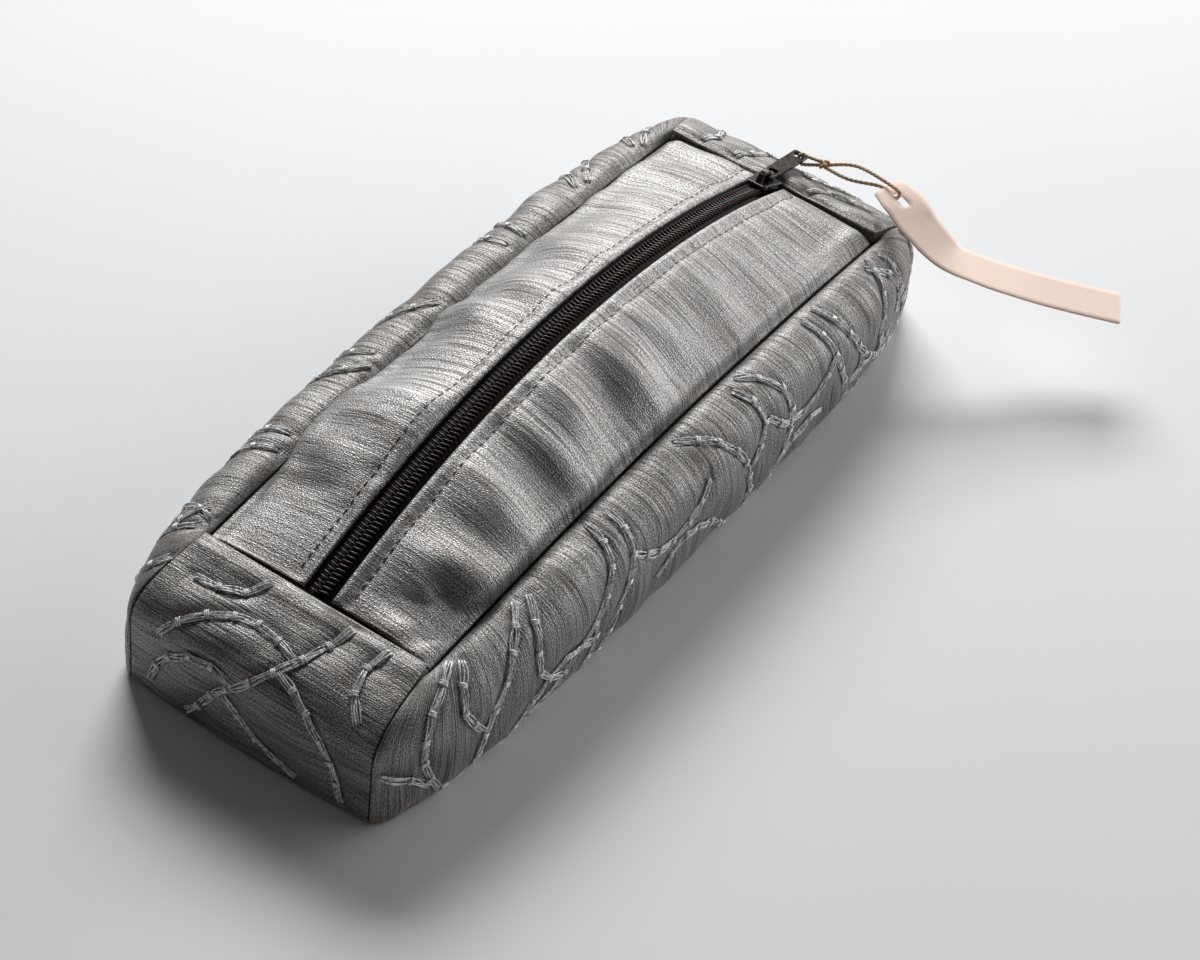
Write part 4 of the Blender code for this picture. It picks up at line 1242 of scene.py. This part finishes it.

# %% [markdown]
# ## Lining and wadding
#
# Inside, the case is lined with plain taffeta and padded with polyester wadding. Both are hidden
# while the zip is shut, so their look is a guess from what such cases hold. Taffeta is a tight, smooth
# weave with a low gloss. Wadding is a web of loose fibres and matt. It is drawn grey rather than white:
# painted shade, so that where it shows between the panels at the corners it reads as shadow.

# %% Lining and wadding materials
lining, tree, surface, place = new_material("polyester_taffeta_lining")
weave = add(tree, "TexChecker", {"Vector": place, "Scale": 2.2, "Color1": linear("#3a3532"),
                                 "Color2": linear("#4a4440")})
relief = add(tree, "Bump", {"Height": weave.outputs[1], "Strength": 0.3, "Distance": 0.00008})
plug(surface, {"Base Color": weave.outputs[0], "Roughness": 0.5, "Sheen Weight": 0.2,
               "Normal": relief.outputs[0]})

wadding, tree, surface, place = new_material("polyester_wadding_needled")
web = add(tree, "TexNoise", {"Vector": place, "Scale": 0.9, "Detail": 5.0,
                             "Distortion": 1.5}).outputs[0]
# The grey tones are painted shade for where the wadding shows between the panels at the corners.
tone = add(tree, "Mix", {"Factor": web, 6: linear("#6f6a66"), 7: linear("#97928d")}, data_type="RGBA")
relief = add(tree, "Bump", {"Height": web, "Strength": 0.8, "Distance": 0.0006})
plug(surface, {"Base Color": tone.outputs[2], "Roughness": 0.95, "Normal": relief.outputs[0]})

# %% Lining and wadding
WADDING_DEPTH, WADDING_THICKNESS = 1.3, 3.0
LINING_DEPTH, LINING_THICKNESS = 4.6, 0.8
TOP_LINING_INNER, TOP_LINING_DEPTH, TOP_LINING_THICKNESS = 5.0, 2.1, 0.6


def inner_sheets(depth, thickness):
    """The walls and the base as coarse sheets, with the names of the solids they stand for."""
    for kind, label, _, cloth in walls(depth, COARSE, thickness):
        yield f"{kind}_{label}", f"{kind}_wadding_{label}", f"lining_{kind}_{label}", cloth
    yield "base", "base_wadding", "lining_base", base_cloth(depth, COARSE, thickness)


for name, pad, _, cloth in inner_sheets(WADDING_DEPTH, WADDING_THICKNESS):
    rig.padded(on_case(cloth.build("wadding_sheet_" + name, wadding), pad, "wadding"), 0.3)
for name, pad, node, cloth in inner_sheets(LINING_DEPTH, LINING_THICKNESS):
    sheet = on_case(cloth.build("lining_sheet_" + name, lining), node, "lining_cloth")
    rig.sheet(sheet, held="laid", rests_on=[pad], **cloth.cut())
    print(node, "is cut", [round(c / MM) for c in cloth.cut()["flat"]], "mm")
for side, label in SIDES:
    cloth = top_grid(side, TOP_LINING_INNER, HALF_WIDTH - TOUCH, TOP_LINING_DEPTH, COARSE,
                     TOP_LINING_THICKNESS)
    in_halves(cloth.build("lining_sheet_top_" + label, lining), side, ["lining_top_" + label],
              "lining_cloth", cloth, ["top_panel_" + label])

# %% [markdown]
# ## The zip
#
# A coil zip: each row is one polyester filament wound into a flattened coil and sewn to the edge of
# a woven tape. The two coils mesh, half a pitch apart. A coil could be faked with a bump, but its
# loops are what catches the light here, so each row is a real wound filament, a flattened helix that
# follows the arc, and every loop is held by a brown sewing thread. The filament is smooth and shiny,
# the tape is a matt herringbone weave and the spun thread is dull.

# %% Zip materials
coil_finish, tree, surface, place = new_material("polyester_monofilament_coil")
scuff = add(tree, "TexNoise", {"Vector": place, "Scale": 0.8, "Detail": 3.0}).outputs[0]
tone = add(tree, "Mix", {"Factor": scuff, 6: linear("#15110f"), 7: linear("#332a27")}, data_type="RGBA")
gloss = add(tree, "MapRange", {"Value": scuff, "To Min": 0.22, "To Max": 0.38})
plug(surface, {"Base Color": tone.outputs[2], "Roughness": gloss.outputs[0]})

tape_finish, tree, surface, place = new_material("polyester_herringbone_tape")
rib = add(tree, "TexWave", {"Vector": place, "Scale": 0.28, "Distortion": 0.6},
          bands_direction="DIAGONAL").outputs["Fac"]
tone = add(tree, "Mix", {"Factor": rib, 6: linear("#14100f"), 7: linear("#2b2320")}, data_type="RGBA")
relief = add(tree, "Bump", {"Height": rib, "Strength": 0.6, "Distance": 0.0001})
plug(surface, {"Base Color": tone.outputs[2], "Roughness": 0.75, "Sheen Weight": 0.15,
               "Normal": relief.outputs[0]})

thread_finish, tree, surface, place = new_material("polyester_spun_sewing_thread")
ply = add(tree, "TexWave", {"Vector": place, "Scale": 0.9}, bands_direction="DIAGONAL").outputs["Fac"]
tone = add(tree, "Mix", {"Factor": ply, 6: linear("#4a302a"), 7: linear("#7a564b")}, data_type="RGBA")
plug(surface, {"Base Color": tone.outputs[2], "Roughness": 0.6})

# %% Zip tapes, coils and threads
PITCH = 1.27
TAPE_INNER, TAPE_OUTER = 1.2, 14.0
TAPE_DEPTH, TAPE_STEP, TAPE_THICKNESS = 1.3, 1.6, 0.5
FILAMENT_RADIUS, THREAD_RADIUS = 0.27, 0.17
LOOP_POINTS, LOOP_MIDDLE, LOOP_REACH = 12, 0.80, 1.35
COIL_HEIGHT, COIL_RISE = -0.32, 0.42
FIRST_ANGLE = -asin(TOP_LENGTH / ARC_RADIUS)
LAST_ANGLE = SLIDER_ANGLE + 1.3 / ARC_RADIUS


def arc_point(x, angle, h):
    """A point of the zip: x across, an angle along its arc, h above the arc."""
    radius = ARC_RADIUS + h
    return np.stack(np.broadcast_arrays(x, OPENING_Y + radius * np.sin(angle),
                                        ARC_CENTRE_Z + radius * np.cos(angle)), -1)


for side, label in SIDES:
    tape = top_grid(side, TAPE_INNER, TAPE_OUTER, TAPE_DEPTH, TAPE_STEP, TAPE_THICKNESS)
    in_halves(tape.build("zip_tape_woven_" + label, tape_finish), side, ["zip_tape_" + label],
              "zip_tape", tape, ["top_panel_" + label])
    step = PITCH / ARC_RADIUS
    lead = 0.5 * step if side > 0 else 0.0
    loops_a_row = int((LAST_ANGLE - FIRST_ANGLE - lead) / step)
    turns = np.arange(0, loops_a_row, 1 / LOOP_POINTS)
    angle = FIRST_ANGLE + lead + step * turns
    line = arc_point(side * (LOOP_MIDDLE - LOOP_REACH * np.cos(2 * pi * turns)), angle,
                     COIL_HEIGHT + COIL_RISE * np.sin(2 * pi * turns))
    axis = np.stack([0 * angle, np.cos(angle), -np.sin(angle)], -1)
    coil = make_object("zip_coil_wound_" + label, *tube(line, FILAMENT_RADIUS, axis, 6), coil_finish)
    in_halves(coil, side, ["zip_coil_" + label], "zip_coil")
    # Each stitch goes over a loop and bends down into the tape.
    across = np.linspace(0.95, 2.35, 7)
    bow = 0.18 + 0.30 * np.sin(np.linspace(0, pi, 7)) - 0.55 * np.clip((across - 1.9) / 0.45, 0, 1)
    parts = []
    for k in range(loops_a_row):
        slant = FIRST_ANGLE + lead + step * (k + 0.25) + step * 0.30 * (across - 1.6)
        parts.append(tube(arc_point(side * across, slant, bow), THREAD_RADIUS, (0, 1, 0), THREAD_SIDES))
    seam = make_object("zip_sewing_thread_" + label, *gather(parts), thread_finish)
    in_halves(seam, side, [], "zip_coil")
    print("zip row", label, "has", loops_a_row, "loops")

# %% [markdown]
# ## Slider and pull
#
# The slider is die-cast zinc plated with black nickel, a dark bright metal. Its shape in the solid
# model is right, so the solids stay; a fine bevel gives their edges the glint that shows they are
# metal, and the plating gets faint wear.

# %% Metal
plated, tree, surface, place = new_material("black_nickel_on_die_cast_zinc", "Object")
wear = add(tree, "TexNoise", {"Vector": place, "Scale": 900.0, "Detail": 4.0}).outputs[0]
tone = add(tree, "Mix", {"Factor": wear, 6: linear("#2a2624"), 7: linear("#5a5350")}, data_type="RGBA")
gloss = add(tree, "MapRange", {"Value": wear, "To Min": 0.18, "To Max": 0.38})
plug(surface, {"Base Color": tone.outputs[2], "Metallic": 1.0, "Roughness": gloss.outputs[0]})
for name in ("slider_body", "pull_tab"):
    node = frame["nodes"][name]
    if not node.material_slots:
        node.data.materials.append(plated)
    for slot in node.material_slots:
        slot.material = plated
    soften(node, "fine edges", 0.12, 2, 35)
print("plated the slider and the pull")

# %% [markdown]
# ## Floor and light
#
# The case lies on a plain pale table. The light is one large window behind it and a little to the
# left, so the far parts glow, folds show, and the near end is in shade. A larger and weaker lamp to
# the right stands for a pale wall that throws the light back, and a long low one behind the case for
# the light off the window sill, which the far ends of the top mirror. A weak even fill from the world
# keeps the shade readable.

# %% Floor, window and fill
FLOOR_HALF, FLOOR_Z = 3.0, -0.0003
# Each lamp's name, watts, size, place and the height of the point that it shines at.
LAMPS = (("window", 24.0, (0.95, 0.60), (-0.80, 0.98, 0.90), 0.02),
         ("pale_wall", 7.0, (1.6, 1.0), (0.95, 1.15, 0.60), 0.02),
         ("window_sill", 6.0, (1.0, 0.30), (0.45, 1.35, 0.32), 0.04))

table, tree, surface, place = new_material("matt_white_laminate_table", "Object")
grain = add(tree, "TexNoise", {"Vector": place, "Scale": 6.0, "Detail": 3.0}).outputs[0]
tone = add(tree, "Mix", {"Factor": grain, 6: linear("#eef0f2"), 7: linear("#f6f8fa")}, data_type="RGBA")
plug(surface, {"Base Color": tone.outputs[2], "Roughness": 0.6})
shape = bmesh.new()
bmesh.ops.create_grid(shape, x_segments=8, y_segments=8, size=FLOOR_HALF)
mesh = bpy.data.meshes.new("table")
shape.to_mesh(mesh)
shape.free()
mesh.materials.append(table)
floor = put("table", mesh)
floor.location.z = FLOOR_Z
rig.stage(floor)

for name, watts, size, place, aim in LAMPS:
    light = bpy.data.lights.new(name, "AREA")
    light.shape, light.energy = "RECTANGLE", watts
    light.size, light.size_y = size
    lamp = put(name, light)
    lamp.location = place
    lamp.rotation_euler = (Vector((0, 0, aim)) - lamp.location).to_track_quat("-Z", "Y").to_euler()
    print(name, "gives", watts, "W")

world = bpy.data.worlds.new("fill")
bpy.context.scene.world = world
world.use_nodes = True
plug(world.node_tree.nodes["Background"], {"Color": linear("#f6f2ee"), "Strength": 0.07})
bpy.context.scene.view_settings.view_transform = "Standard"

# %% Sizes and the end
with open("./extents.json", "w") as out:
    json.dump({"solid": [list(c) for c in solid_box], "dressed": [list(c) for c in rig.bounds()]}, out)
